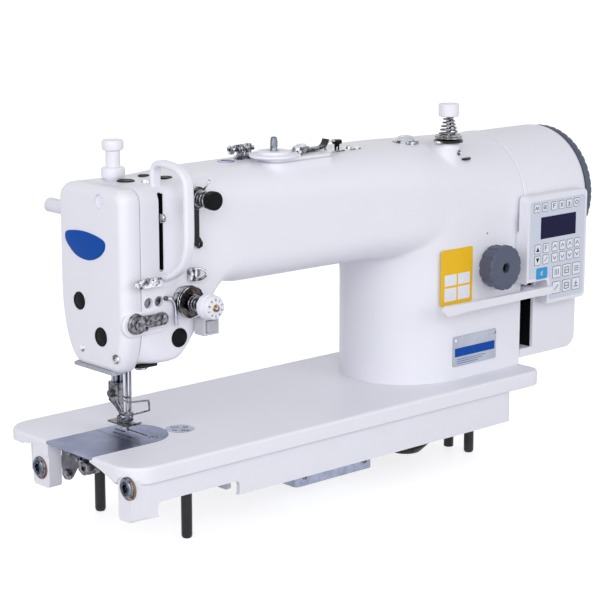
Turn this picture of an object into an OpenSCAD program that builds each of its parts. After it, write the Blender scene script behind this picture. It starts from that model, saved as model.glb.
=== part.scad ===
// Industrial single-needle lockstitch sewing machine head with a built-in direct-drive motor.
// Working axes: x along the bed to the motor, y from the bed's front edge to the rear, z up from the
// bed's top face. at_feet() moves every piece so that the origin is under the middle, on the floor.

/* [Bed] */
// Length of the bed plate
bed_l = 477; // [470:1:490]
// Width of the bed plate
bed_w = 178; // [174:1:186]
// Height of the bed's outer rim
bed_edge = 13.7; // [12:0.1:16]
// Thickness of the bed's top wall
bed_plate = 8; // [7:0.5:9]
// Radius of the bed's corners
bed_corner = 24; // [14:1:30]
// Radius of the bed's corners at the motor end
bed_corner_right = 14; // [12:1:20]
// Depth of the skirt below the top face
skirt_depth = 43; // [42:1:48]
// Wall of the skirt
skirt_wall = 4; // [3.5:0.5:5]
// Thickness of the slide plate and needle plate
plate_t = 2.5; // [2:0.1:3]
// Width of the slide plate
plate_w = 61.8; // [60:0.2:64]
// Height of the bed on its rest pins
rest_h = 80; // [78:1:95]
// Radius of a rest pin
rest_r = 4.6; // [4:0.1:5.5]
// Radius of the bores that take the table hinges
hinge_bore_r = 5; // [4:0.5:5.5]

/* [Head and arm] */
// Bed edge to the needle
needle_x = 63.5; // [63:0.1:64]
// Bed front edge to the main shaft and needle
line_y = 88.5; // [88:0.1:89.5]
// Front face of the head
head_front = 44; // [42:0.5:45]
// Rear face of the head
head_rear = 130; // [129:0.5:134]
// Underside of the head
head_low = 66; // [65:0.5:67]
// Top of the head
head_top = 208; // [207:0.5:210]
// Top of the arm
arm_top = 214; // [213:0.5:216]
// Underside of the arm
arm_low = 118; // [114:1:122]
// Wall of the arm casting
arm_wall = 6; // [5:0.5:7]
// Seam between the face cover and the arm
seam_x = 46; // [45:0.5:47]
// Outer face of the face cover
cover_x = 28; // [26:0.5:30]
// Wall of the face cover
cover_wall = 3.5; // [3:0.5:4]
// Nose of the column towards the needle
column_x = 321; // [317:1:326]
// End of the arm casting at the motor
arm_end = 474; // [472:0.5:476]

/* [Shafts] */
// Height of the main shaft
shaft_z = 150; // [149:0.5:151]
// Radius of the main shaft
shaft_r = 7.5; // [7:0.1:8]
// Throw of the needle crank, half of the needle's stroke
crank_r = 15.35; // [15:0.05:15.5]
// Length of the needle bar link between its eyes
link_l = 34.65; // [34:0.05:35]
// Radius of the crank pin
pin_r = 4; // [3.8:0.1:4.2]
// Depth of the hook shaft below the bed
hook_z = -27; // [-27.5:0.1:-26.8]
// Radius of the hook shaft
hook_shaft_r = 7; // [6:0.1:7.2]
// Radius of the rotating hook
hook_r = 18; // [17.6:0.1:18.2]
// Radius of the upper belt pulley at its teeth
pulley_r = 24; // [22:0.5:26]
// Radius of a running fit beyond its shaft
fit = 0.05; // [0.03:0.01:0.08]
// Clearance between neighbouring pieces
gap = 0.3; // [0.25:0.05:0.4]

/* [Needle and presser] */
// Radius of the needle bar
needle_bar_r = 3.6; // [3.4:0.1:3.8]
// Lower end of the needle bar at the bottom of its stroke
needle_bar_low = 10.5; // [10:0.5:11.5]
// Radius of the presser bar
presser_r = 5; // [4.6:0.1:5.2]
// Bed front edge to the presser bar
presser_y = 105; // [104.6:0.1:105.4]
// Gap under the raised presser foot
foot_gap = 6.5; // [6:0.1:7]

/* [Motor and controls] */
// Radius of the motor cover
motor_r = 63.5; // [62:0.5:64]
// Length of the motor cover
motor_l = 90; // [88:0.5:91]
// Wall of the plastic covers
shell = 3; // [2.5:0.5:3.5]
// Width of the handwheel
wheel_w = 8; // [8:0.5:10]
// Depth of the control panel in front of the motor cover
panel_d = 11; // [10:0.5:12]
// Left edge of the control panel
panel_x = 466; // [464:0.5:468]
// Width of the control panel
panel_w = 83; // [82:0.5:86]
// Lower edge of the control panel
panel_low = 57; // [56:0.5:58]
// Height of the control panel
panel_h = 103; // [100:0.5:105]
// Radius of the stitch dial
dial_r = 20.5; // [19:0.5:21]
// Centre of the stitch dial along the bed
dial_x = 432; // [430:0.5:434]
// Height of the stitch dial
dial_z = 100; // [98:0.5:102]

/* [Thread path] */
// Distance along the bed to the main thread tension
tension_x = 89; // [88.5:0.1:89.5]
// Height of the main thread tension
tension_z = 114.5; // [113:0.5:116]
// Radius of the main tension's numbered knob
tension_knob_r = 8.5; // [8:0.1:9]
// Distance along the bed to the thread post on the arm
post_x = 395; // [392:0.5:398]
// Distance along the bed to the bobbin winder's spindle
winder_x = 200; // [198:0.5:202]
// Radius of the bobbin winder's spindle
spindle_r = 3; // [2.8:0.1:3.2]

/* [Hidden] */
$fn = 48;
arc_n = 6;

// Faces that follow the motor's size
column_front = line_y - motor_r + 3;
column_rear = line_y + motor_r - 4;
wheel_r = motor_r - 5.5;
rotor_r = motor_r - 27.5;
panel_y = line_y - motor_r - panel_d;

// Overall middle of the machine, for the origin
seam = 0.5;
plug_out = 2;
motor_end = arm_end + seam + motor_l;
wheel_end = motor_end + 1 + wheel_w;
mid = [(wheel_end - plug_out) / 2, bed_w / 2, -rest_h];

// ---- General shapes -------------------------------------------------------------------------

// Moves the working axes to the origin under the machine
module at_feet() translate(-mid) children();

// Round bars along each axis
module rod_x(r, x0, x1, y, z) translate([x0, y, z]) rotate([0, 90, 0]) cylinder(r = r, h = x1 - x0);
module rod_y(r, y0, y1, x, z) translate([x, y0, z]) rotate([-90, 0, 0]) cylinder(r = r, h = y1 - y0);
module rod_z(r, z0, z1, x, y) translate([x, y, z0]) cylinder(r = r, h = z1 - z0);

// Rings with a bore along each axis
module ring_x(r, bore, x0, x1, y, z) difference() {
    rod_x(r, x0, x1, y, z);
    rod_x(bore, x0 - 1, x1 + 1, y, z);
}
module ring_y(r, bore, y0, y1, x, z) difference() {
    rod_y(r, y0, y1, x, z);
    rod_y(bore, y0 - 1, y1 + 1, x, z);
}
module ring_z(r, bore, z0, z1, x, y) difference() {
    rod_z(r, z0, z1, x, y);
    rod_z(bore, z0 - 1, z1 + 1, x, y);
}

// Box between two opposite corners
module block(low, high) translate(low) cube(high - low);

// Quarter of an ellipse about a corner's centre
function arc(centre, reach, from) = [for (i = [0:arc_n])
    let (a = from + 90 * i / arc_n) centre + [reach[0] * cos(a), reach[1] * sin(a)]];

// Closed outline of a box with four rounded corners, from high-high round to high-low
function outline(box, r) = concat(
    arc([box[1][0] - r[0][0], box[1][1] - r[0][1]], r[0], 0),
    arc([box[0][0] + r[1][0], box[1][1] - r[1][1]], r[1], 90),
    arc([box[0][0] + r[2][0], box[0][1] + r[2][1]], r[2], 180),
    arc([box[1][0] - r[3][0], box[0][1] + r[3][1]], r[3], 270));
function even(r) = [[r, r], [r, r], [r, r], [r, r]];

// The same box and corners with a wall taken off
function less(box, w) = [box[0] + [w, w], box[1] - [w, w]];
function less_r(r, w) = [for (c = r) [max(c[0] - w, 1.5), max(c[1] - w, 1.5)]];

// Skin over a row of outlines of equal length
module loft(rings) {
    n = len(rings[0]);
    m = len(rings);
    polyhedron(points = [for (g = rings) each g], faces = concat(
        [[for (i = [0:n - 1]) i]],
        [[for (i = [0:n - 1]) m * n - 1 - i]],
        [for (k = [0:m - 2]) for (i = [0:n - 1]) let (j = (i + 1) % n) each
            [[k * n + i, (k + 1) * n + i, (k + 1) * n + j], [k * n + i, (k + 1) * n + j, k * n + j]]]));
}

// ---- Outer form of the arm ------------------------------------------------------------------

head_back = needle_x + 22.5;
head_toe = needle_x + 65.5;
mid_r = motor_r - 0.5;
// Stations along the arm: place, box in y and z, reaches of the corners
arm_keys = [
    [seam_x, [[head_front, head_low], [head_rear, head_top]], [[16, 14], [14, 12], [5, 5], [26, 60]]],
    [head_back, [[head_front, head_low], [head_rear, head_top]], [[16, 14], [14, 12], [5, 5], [26, 60]]],
    [head_toe, [[head_front - 2, arm_low + 7], [head_rear + 1, arm_top - 1]],
        [[26, 22], [24, 20], [10, 10], [22, 24]]],
    [head_toe + 20, [[head_front - 4, arm_low], [head_rear + 2, arm_top]],
        [[32, 28], [30, 26], [26, 24], [24, 24]]],
    [column_x - 24, [[column_front + 5, arm_low], [column_rear - 5, arm_top]],
        [[38, 34], [36, 32], [30, 26], [28, 26]]],
    [column_x + 31, [[column_front + 1.5, arm_low - 6], [column_rear - 1.5, arm_top]],
        [[42, 38], [42, 38], [36, 30], [36, 30]]],
    [arm_end, [[line_y - motor_r, shaft_z - motor_r], [line_y + motor_r, shaft_z + motor_r]],
        [[mid_r, mid_r], [mid_r, mid_r], [mid_r, mid_r], [mid_r, mid_r]]]];

// Box and corners of the arm at any place along it
function key_of(x, k = 0) = (k >= len(arm_keys) - 2 || x < arm_keys[k + 1][0]) ? k : key_of(x, k + 1);
function station(x) = let (k = key_of(x), p = arm_keys[k], q = arm_keys[k + 1],
    t = (x - p[0]) / (q[0] - p[0])) [p[1] * (1 - t) + q[1] * t, p[2] * (1 - t) + q[2] * t];
function section(x, w = 0) = let (s = station(x))
    [for (c = outline(less(s[0], w), less_r(s[1], w))) [x, c[0], c[1]]];
// Height of the arm's upper surface
function drop(d, reach) = d <= 0 ? 0 : reach[1] * (1 - sqrt(1 - min(d / reach[0], 1) ^ 2));
function roof(x, y) = let (s = station(x), front = s[1][1], rear = s[1][0])
    s[0][1][1] - max(drop(s[0][0][0] + front[0] - y, front), drop(y - s[0][1][0] + rear[0], rear));

// The column, with its fillet into the arm's underside
fillet_out = 10;
fillet_h = 30;
// How far the column's left end is drawn out beyond a half circle
nose_out = 6;
column_keys = concat([[0, 0], [arm_low - fillet_h, 0]],
    [for (a = [15:15:90]) [arm_low - fillet_h + fillet_h * sin(a), fillet_out * (1 - cos(a))]],
    [[shaft_z, fillet_out]]);
function column_ring(key, w) = let (nose = (column_rear - column_front) / 2 - 0.5)
    [for (c = outline(less([[column_x - key[1], column_front], [arm_end, column_rear]], w),
        less_r([[6, 6], [nose + nose_out + key[1], nose], [nose + nose_out + key[1], nose], [6, 6]], w)))
        [c[0], c[1], key[0]]];

// ---- Places of the mechanism ----------------------------------------------------------------

plug_depth = 3;
lever_x0 = needle_x + 9.3;
lever_x1 = lever_x0 + 3;
link_x0 = lever_x1 + 1.2;
link_x1 = link_x0 + 5;
web_x0 = link_x1 + 2;
web_x1 = web_x0 + 10;
bulkhead_x = web_x1 + 2;
bulkhead_t = 16;
bush_t = 4;
bar_hub_z = shaft_z - crank_r - link_l;
bar_top = head_top - plug_depth - 2 * crank_r - gap;
bar_bush_z = shaft_z + 2;
presser_x = needle_x + 2.5;
lever_pivot = [presser_y + 3, shaft_z + 26];
eye_y = head_front - 14;
eye_z = shaft_z + 36;
belt_x = arm_end - 87;
belt_w = 12;
belt_t = 2.4;
low_pulley_r = pulley_r / 2;
skirt_in = 4;
skirt_y = skirt_in + skirt_wall;
skirt_end = arm_end - 34;
lift_y = skirt_y + 4.5;
lift_z = -16;
lift_r = 4.2;
rock_y = line_y + 35.5;
rock_z = -24;
rock_r = 5;
rock_arm = 12;
bar_x0 = needle_x + 11.5;
bar_x1 = bar_x0 + 8;
feed_z = -14.2;
feed_h = 6;
plate_y = line_y - 5.2;
plate_r = plate_w / 2;
slide_x = 49.8;
plate_nose = needle_x - 1.5;
feed_slots = [needle_x - 6.5, needle_x, needle_x + 6.5];
slot_w = 2.6;
rests = [[81, 35], [70, 138], [428, 47], [430, 140]];
knee_at = [skirt_end - 17, 68];
hinge_at = [110, 370];
end_plugs = [[lift_y, lift_z], [rock_y, rock_z]];
end_plug_r = 8.5;
solenoid_at = [196, 30];
solenoid_box = [90, 46, 32];
solenoid_wall = 3;
solenoid_low = -skirt_depth - 19;
pump_at = [355, 58];
pump_r = 22;
pump_low = -skirt_depth - 23;
pump_h = 20;
pump_cone = 8;
pump_arm = [16, 14, 9];
board_t = 2;
pocket = [30, 23];
window = [54, 24];
window_at = [panel_x + 15, panel_low + 60];
lever_x = arm_end + 4;
lever_hub = 10;
guard_y = head_front + 7;
lever_at = [60, 70];
cap_l = 7;
cap_w = 3.5;
box_front = column_front;
box_top = shaft_z - 30;
box_low = 6;
box_end = motor_end - 12;
box_round = 12;
dial_rear = column_front - 3.3;

// ---- Bed --------------------------------------------------------------------------------------

// Outline of the two plates, grown by g
module plate_form(x0, g) polygon(concat(
    [[x0, plate_y + plate_r + g], [x0, plate_y - plate_r - g]],
    [for (a = [-90:7.5:90]) [plate_nose + (plate_r + g) * cos(a), plate_y + (plate_r + g) * sin(a)]]));

module bed_form(inset, x1) let (left = bed_corner - inset, right = bed_corner_right - inset)
    polygon(outline([[inset, inset], [x1, bed_w - inset]],
        [[right, right], [left, left], [left, left], [right, right]]));

module bed_casting() color("gainsboro") at_feet() difference() {
    union() {
        difference() {
            union() {
                translate([0, 0, -bed_edge]) linear_extrude(bed_edge) bed_form(0, bed_l);
                translate([0, 0, -skirt_depth]) linear_extrude(skirt_depth - 1) bed_form(skirt_in, skirt_end);
            }
            translate([0, 0, -skirt_depth - 1]) linear_extrude(skirt_depth + 1 - bed_plate)
                bed_form(skirt_y, skirt_end - skirt_wall);
            // Shallow stretch of the skirt beside the needle
            block([bed_corner + 4, -1, -skirt_depth - 1], [needle_x + 48, bed_w + 1, -skirt_depth + 12]);
            // Open left end between the two brackets
            block([-1, skirt_y + 14, -skirt_depth - 1], [bed_corner + 2, rock_y - 12, -bed_plate]);
            block([-1, rock_y + 10, -skirt_depth - 1], [bed_corner + 2, bed_w, -bed_edge]);
        }
        // Brackets that hold the feed shafts at the left end
        block([2, skirt_in, -skirt_depth], [26, lift_y + 8, -bed_plate]);
        block([2, rock_y - 11, rock_z - 11], [22, rock_y + 9, -bed_plate]);
        // Bearing blocks for the shafts at the right end
        block([skirt_end - 40, skirt_in, lift_z - 10], [skirt_end - 26, lift_y + 8, -bed_plate]);
        block([skirt_end - 40, rock_y - 10, rock_z - 10], [skirt_end - 26, rock_y + 10, -bed_plate]);
        block([needle_x + 22, line_y - 17, hook_z - 14], [needle_x + 42, line_y + 17, -bed_plate]);
        block([skirt_end - 22, line_y - 17, hook_z - 14], [skirt_end - 6, line_y + 17, -bed_plate]);
        for (p = rests) rod_z(rest_r + 2.4, -bed_edge - 18, -bed_plate, p[0], p[1]);
        rod_z(rest_r + 4.4, -skirt_depth, -bed_plate, knee_at[0], knee_at[1]);
        for (x = hinge_at) block([x - 11, bed_w - 26, -bed_edge - 14], [x + 11, bed_w, -bed_plate]);
        // Lugs for the solenoid and the oil pump
        for (d = [0.11, 0.89]) rod_z(6, solenoid_low + solenoid_wall, -bed_plate,
            solenoid_at[0] + d * solenoid_box[0], solenoid_at[1] + solenoid_box[1] / 2);
        rod_z(8, pump_low + pump_cone + pump_h, -bed_plate, pump_at[0], pump_at[1] - 8);
    }
    // Recess and opening for the plates
    translate([0, 0, -plate_t]) linear_extrude(plate_t + 1) plate_form(-1, 0.15);
    translate([0, 0, -skirt_depth]) linear_extrude(skirt_depth + 1) plate_form(-1, -2.5);
    // Way for the belt, the knee lift and the wiring under the column
    block([belt_x - 12, line_y - 30, -skirt_depth], [belt_x + 12, line_y + 30, 1]);
    rod_z(rest_r + fit, -skirt_depth - 1, 1, knee_at[0], knee_at[1]);
    rod_x(lift_r + fit, 1, skirt_end - 25, lift_y, lift_z);
    rod_x(rock_r + fit, 1, skirt_end - 25, rock_y, rock_z);
    rod_x(hook_shaft_r + bush_t + fit, needle_x + 21, needle_x + 43, line_y, hook_z);
    rod_x(hook_shaft_r + bush_t + fit, skirt_end - 23, skirt_end - 5, line_y, hook_z);
    for (p = rests) rod_z(rest_r + fit, -bed_edge - 19, -bed_edge - 4, p[0], p[1]);
    for (p = end_plugs) rod_x(end_plug_r + gap, -1, 2, p[0], p[1]);
    for (x = hinge_at) rod_y(hinge_bore_r, bed_w - 24, bed_w + 1, x, -bed_edge - 5);
    // Sockets of the round disc in the bed and of the needle plate's screw
    rod_z(12 + fit, -2.5, 1, needle_x + 39.5, 70);
}

module needle_plate() color("silver") at_feet() difference() {
    translate([0, 0, -plate_t]) linear_extrude(plate_t) difference() {
        plate_form(slide_x + 0.15, 0);
        for (x = feed_slots) translate([x - slot_w / 2, x == needle_x ? line_y + 4 : plate_y - 14])
            square([slot_w, x == needle_x ? 19 : 40]);
    }
    rod_z(1.2, -plate_t - 1, 1, needle_x, line_y);
    rod_z(3.6, -1.2, 1, needle_x + 7.2, plate_y - 19.3);
}

module slide_plate() color("silver") at_feet()
    translate([0, plate_y - plate_r, -plate_t]) difference() {
        cube([slide_x, plate_w, plate_t]);
        translate([4, plate_r - 9, plate_t - 0.8]) cube([3, 18, 2]);
    }

module rest_pins() color("#202226") at_feet() for (p = rests) difference() {
    rod_z(rest_r, -rest_h, -bed_edge - 4.2, p[0], p[1]);
    rod_z(rest_r - 2, -rest_h - 1, -rest_h + 3, p[0], p[1]);
}

module knee_lift_pin() color("#202226") at_feet()
    rod_z(rest_r, 2 - rest_h, -6, knee_at[0], knee_at[1]);

module solenoid_box() color("lightsteelblue") at_feet()
    translate([solenoid_at[0], solenoid_at[1], solenoid_low]) difference() {
        cube(solenoid_box);
        translate([solenoid_wall, solenoid_wall, solenoid_wall])
            cube([solenoid_box[0] - 2 * solenoid_wall, solenoid_box[1] - 2 * solenoid_wall, solenoid_box[2]]);
    }

module oil_pump() color("#26282b") at_feet() translate([pump_at[0], pump_at[1], pump_low]) {
    cylinder(r1 = pump_r - pump_cone, r2 = pump_r, h = pump_cone);
    translate([0, 0, pump_cone]) cylinder(r = pump_r, h = pump_h);
    translate([pump_r - 4, -pump_arm[1] / 2, pump_cone / 2]) cube(pump_arm);
}

// ---- Arm and covers ---------------------------------------------------------------------------

cover_fixings = [[head_front + 10.5, head_low + 8.5], [line_y + 11, head_low + 9.5],
    [line_y - 15.5, head_top - 10.5]];
top_plugs = [[needle_x + 2.5, line_y, 7.6], [needle_x + 28, line_y + 9.5, 5],
    [needle_x + 32.5, line_y - 13, 6], [169, 87, 7]];
face_plugs = [[line_y + 13.5, shaft_z - 36, 7.6], [line_y - 14.5, shaft_z - 61, 8]];
front_plug = [needle_x + 19.5, head_low + 19, 8];
pre_at = [needle_x + 35.5, head_top - 11];
pre_y = head_front - 3;
tension_y = head_front - 2;
winder_y = 62;
post_y = 48;
lever_slot = [needle_x, needle_x + 5];
plug_rise = 1.2;
winder_z = arm_top + 0.5;
post_z = arm_top;
post_cap_z = post_z + 22.5;
oil_at = [367, 74];
guide_at = [284, 75];
guard_x = needle_x + 5.5;

module arm_form(w) loft([for (k = arm_keys) section(k[0], w)]);
module column_form(w) loft([for (k = column_keys) column_ring(k, w)]);

module arm_casting() color("white") at_feet() {
    arm_shell();
    head_bosses();
    // Pin that carries the reverse lever
    rod_x(4, arm_end - 8, lever_x + lever_hub + 2, lever_at[0], lever_at[1]);
}

module arm_shell() difference() {
    union() {
        arm_form(0);
        column_form(0);
        // Raised pads under the fittings
        rod_z(13, arm_top - 16, post_z, post_x, post_y);
        translate([winder_x - 12, winder_y - 14, arm_top - 16]) cube([72, 30, 16.5]);
        rod_y(9, pre_y, head_front + 8, pre_at[0], pre_at[1]);
        rod_y(12, tension_y, head_front + 8, tension_x, tension_z);
        rod_y(14, dial_rear + gap, column_front + 8, dial_x, dial_z);
        block([guard_x - 5.5, guard_y - 1.5, head_top - 12], [guard_x + 5.5, guard_y + 6.5, head_top]);
    }
    // Head chamber, open to the face cover
    loft([for (x = [seam_x - 1, head_back, bulkhead_x]) section(x, arm_wall)]);
    // Arm tunnel and column chamber
    loft([for (x = [bulkhead_x + bulkhead_t, head_toe + 20, column_x - 24, column_x + 31, arm_end - 12])
        section(x, arm_wall)]);
    loft(concat([[for (p = column_ring([0, 0], arm_wall)) p - [0, 0, 1]]],
        [for (i = [1:len(column_keys) - 1]) column_ring(column_keys[i], arm_wall)]));
    // Bores of the main shaft
    rod_x(shaft_r + bush_t + fit, bulkhead_x - 1, bulkhead_x + bulkhead_t + 1, line_y, shaft_z);
    rod_x(shaft_r + bush_t + fit, arm_end - 13, arm_end + 1, line_y, shaft_z);
    // Ways out of the head for the bars, the take-up lever and the lifter
    rod_z(needle_bar_r + 2.4 + fit, head_low - 2, head_low + 21, needle_x, line_y);
    rod_z(presser_r + 2 + fit, head_low - 2, head_low + 21, presser_x, presser_y);
    rod_z(7.5 + fit, head_top - arm_wall - 1, head_top + 8, presser_x, presser_y);
    rod_z(needle_bar_r + 1.6 + fit, head_top - arm_wall - 1, head_top, needle_x, line_y);
    block([lever_slot[0], head_front - 5, shaft_z - 8], [lever_slot[1], head_front + 16, head_top - 4]);
    rod_y(4 + fit, head_rear - arm_wall - 4, head_rear + 2, seam_x + 6.5, shaft_z + 30);
    // Seats of the plugs, posts and fixings
    for (p = top_plugs) rod_z(p[2], roof(p[0], p[1]) - plug_depth, roof(p[0], p[1]) + 5, p[0], p[1]);
    rod_y(front_plug[2], head_front - 2, head_front + plug_depth, front_plug[0], front_plug[1]);
    rod_y(2.5 + fit, head_front - 5, head_front + arm_wall - 1, pre_at[0], pre_at[1]);
    rod_y(4 + fit, head_front - 5, head_front + arm_wall - 1, tension_x, tension_z);
    rod_y(6 + fit, column_front - 8, column_front + arm_wall + 4, dial_x, dial_z);
    rod_z(3 + fit, arm_top - 12, arm_top + 1, post_x, post_y);
    rod_z(spindle_r + 2 + fit, arm_top - 12, arm_top + 1, winder_x, winder_y);
    rod_z(12 + fit, roof(oil_at[0], oil_at[1]) - plug_depth, roof(oil_at[0], oil_at[1]) + 5,
        oil_at[0], oil_at[1]);
}

// Bosses and studs inside the head: needle bar's upper bearing, take-up stud, cover screw bosses
module head_bosses() difference() {
    union() {
        block([needle_x - 7, line_y - 8, bar_bush_z], [lever_x0 - 1, line_y + 8, head_top - arm_wall / 2]);
        rod_x(4.5, lever_x0 - 0.5, bulkhead_x + 3, lever_pivot[0], lever_pivot[1]);
        for (p = cover_fixings) intersection() {
            rod_x(8, seam_x, seam_x + 11, p[0], p[1]);
            block([seam_x, head_front + 2, head_low + 2], [seam_x + 11, head_rear - 2, head_top]);
        }
    }
    rod_z(needle_bar_r + 1.6 + fit, bar_bush_z - 1, head_top, needle_x, line_y);
    for (p = cover_fixings) rod_x(2 + fit, seam_x - 1, seam_x + 9, p[0], p[1]);
}

module face_cover() color("white") at_feet() {
    s = [[head_front, head_low - 5], [head_rear, head_top]];
    r = [[16, 14], [14, 12], [8, 8], [26, 66]];
    difference() {
        loft([for (k = [[cover_x, 6], [cover_x + 1.5, 2.6], [cover_x + 5, 0.6], [cover_x + 9, 0],
            [seam_x - 0.5, 0]]) [for (c = outline(less(s, k[1]), less_r(r, k[1]))) [k[0], c[0], c[1]]]]);
        loft([for (k = [[cover_x + cover_wall, cover_wall + 6], [cover_x + 9, cover_wall],
            [seam_x + 1, cover_wall]]) [for (c = outline(less(s, k[1]), less_r(r, k[1]))) [k[0], c[0], c[1]]]]);
        for (p = face_plugs) rod_x(p[2], cover_x - 1, cover_x + 2, p[0], p[1]);
        for (p = cover_fixings) rod_x(2.2, cover_x - 1, seam_x, p[0], p[1]);
    }
}

module plugs() color("#1c1d20") at_feet() {
    for (p = top_plugs) rod_z(p[2] - fit, roof(p[0], p[1]) - plug_depth,
        roof(p[0], p[1]) + plug_rise, p[0], p[1]);
    for (p = face_plugs) rod_x(p[2] - fit, cover_x - 1, cover_x + 2, p[0], p[1]);
    rod_y(front_plug[2] - fit, head_front - 1, head_front + plug_depth, front_plug[0], front_plug[1]);
    rod_z(12, -2.5, 0.2, needle_x + 39.5, 70);
    for (p = end_plugs) difference() {
        rod_x(end_plug_r, -plug_out, 1.9, p[0], p[1]);
        translate([-plug_out - 1, p[0], p[1]]) rotate([0, 90, 0]) cylinder(r = 3.5, h = 3, $fn = 6);
    }
}

module cover_screws() color("silver") at_feet() for (p = cover_fixings) {
    rod_x(4, cover_x - 2, cover_x - 0.01, p[0], p[1]);
    rod_x(2, cover_x - 0.5, seam_x + 8, p[0], p[1]);
}

module oil_window() color("lightgray") at_feet() {
    z = roof(oil_at[0], oil_at[1]);
    translate([oil_at[0], oil_at[1], z - plug_depth]) cylinder(r = 12, h = plug_depth + 2);
    translate([oil_at[0], oil_at[1], z + 2]) cylinder(r1 = 9, r2 = 5, h = 4);
}

module lamp() color("#1c1d20") at_feet() {
    block([needle_x + 6.5, head_front + 3, head_low - 4], [head_back - 2, head_front + 27, head_low]);
    rod_z(7, head_low - 7, head_low - 4, needle_x + 14, head_front + 15);
}

module motor_cover() color("white") at_feet()
    translate([arm_end + seam, line_y, shaft_z]) rotate([0, 90, 0]) difference() {
        rotate_extrude() polygon(concat([[0, 0], [motor_r, 0], [motor_r, motor_l - cap_l]],
            [for (a = [15:15:90]) [motor_r - cap_w * (1 - cos(a)), motor_l - cap_l + cap_l * sin(a)]],
            [[0, motor_l]]));
        translate([0, 0, -1]) cylinder(r = motor_r - shell, h = motor_l - cap_l);
        cylinder(r = motor_r - cap_w - shell, h = motor_l - shell);
        cylinder(r = 20, h = motor_l + 1);
    }

// Outer form of the control box and, with a wall taken off, its inside
module box_form(x0, top, w) translate([0, column_rear - w, 0]) rotate([90, 0, 0])
    linear_extrude(column_rear - box_front - 2 * w)
        polygon(outline([[x0, box_low + w], [box_end - w, top]],
            [[1.5, 1.5], [1.5, 1.5], [1.5, 1.5], [box_round - w, box_round - w]]));

module control_box() color("white") at_feet() difference() {
    union() {
        box_form(arm_end + 18, box_top, 0);
        block([arm_end + seam, box_front, box_low], [arm_end + 19, column_rear, box_low + 8]);
    }
    box_form(arm_end + 17, shaft_z, shell);
    rod_x(motor_r + gap, arm_end, motor_end + 1, line_y, shaft_z);
}

module control_board() color("#1b1c1e") at_feet()
    block([arm_end + 20, box_front + shell + gap, box_low + shell + gap],
        [arm_end + 20 + board_t, column_rear - shell - gap, shaft_z - motor_r - 4]);

module control_panel() color("whitesmoke") at_feet() difference() {
    translate([panel_x, panel_y, panel_low]) difference() {
        cube([panel_w, line_y - panel_y, panel_h]);
        // Pocket for the reverse lever
        translate([-1, -1, -1]) cube([pocket[0] + 1, 30, pocket[1] + 1]);
        translate([4, 2, 22]) cube([panel_w - 7, panel_d - 5, panel_h - 26]);
    }
    block([panel_x - 1, column_front - gap, 0], [panel_x + panel_w + 1, line_y + 1, box_top + gap]);
    block([panel_x - 1, column_front - gap, 0], [arm_end + gap, line_y + 1, panel_low + panel_h + 1]);
    rod_x(motor_r + gap, panel_x - 2, panel_x + panel_w + 2, line_y, shaft_z);
    block([window_at[0], panel_y - 1, window_at[1]],
        [window_at[0] + window[0], panel_y + 3, window_at[1] + window[1]]);
}

module display_window() color("#1d1b3a") at_feet()
    block([window_at[0] + 0.1, panel_y + 0.3, window_at[1] + 0.1],
        [window_at[0] + window[0] - 0.1, panel_y + 1.9, window_at[1] + window[1] - 0.1]);

module keypad() color("aliceblue") at_feet() difference() {
    block([panel_x + 2, panel_y - 0.4, panel_low + 4], [panel_x + panel_w - 2, panel_y, panel_low + panel_h - 2]);
    block([panel_x + 1, panel_y - 1, panel_low + 3], [panel_x + pocket[0] + 2, panel_y + 1, panel_low + pocket[1] + 2]);
    block([window_at[0], panel_y - 1, window_at[1]],
        [window_at[0] + window[0], panel_y + 1, window_at[1] + window[1]]);
}

module nameplates() color("silver") at_feet() {
    block([column_x + 63, column_front - 1, 12], [column_x + 120, column_front, 40]);
    translate([cover_x - 1, line_y + 3.5, shaft_z + 10]) rotate([90, 0, 90])
        linear_extrude(1) polygon([for (a = [0:10:350]) [24.5 * cos(a), 12.5 * sin(a)]]);
}

// ---- Drive -----------------------------------------------------------------------------------

module motor_stator() color("#6d6f73") at_feet() difference() {
    ring_x(motor_r - shell - gap, rotor_r + 1, arm_end + 6, arm_end + 46, line_y, shaft_z);
    for (a = [0:30:330]) translate([0, line_y, shaft_z]) rotate([a, 0, 0])
        rod_x(3.5, arm_end + 5, arm_end + 47, rotor_r + 8, 0);
}

module motor_rotor() color("#3a3c40") at_feet()
    ring_x(rotor_r, shaft_r + fit, arm_end + 8, arm_end + 44, line_y, shaft_z);

module handwheel() color("#3c4250") at_feet() difference() {
    union() {
        rod_x(wheel_r - 2, motor_end + 1, wheel_end, line_y, shaft_z);
        rod_x(wheel_r, motor_end + 2.5, wheel_end - 2, line_y, shaft_z);
        rod_x(17, motor_end - 10, motor_end + 2, line_y, shaft_z);
    }
    rod_x(shaft_r + fit, motor_end - 11, wheel_end - 4, line_y, shaft_z);
    ring_x(wheel_r - 9, 18, wheel_end - 6, wheel_end + 1, line_y, shaft_z);
}

module main_shaft() color("silver") at_feet() {
    rod_x(shaft_r, web_x0 + 2, wheel_end - 4.3, line_y, shaft_z);
    translate([belt_x - belt_w / 2, line_y, shaft_z]) rotate([0, 90, 0]) {
        difference() {
            cylinder(r = pulley_r, h = belt_w);
            for (a = [0:15:345]) rotate(a) translate([pulley_r, 0, -1]) cylinder(r = 1.1, h = belt_w + 2);
        }
        for (z = [-2, belt_w]) translate([0, 0, z]) cylinder(r = pulley_r + 3, h = 2);
    }
}

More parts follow.
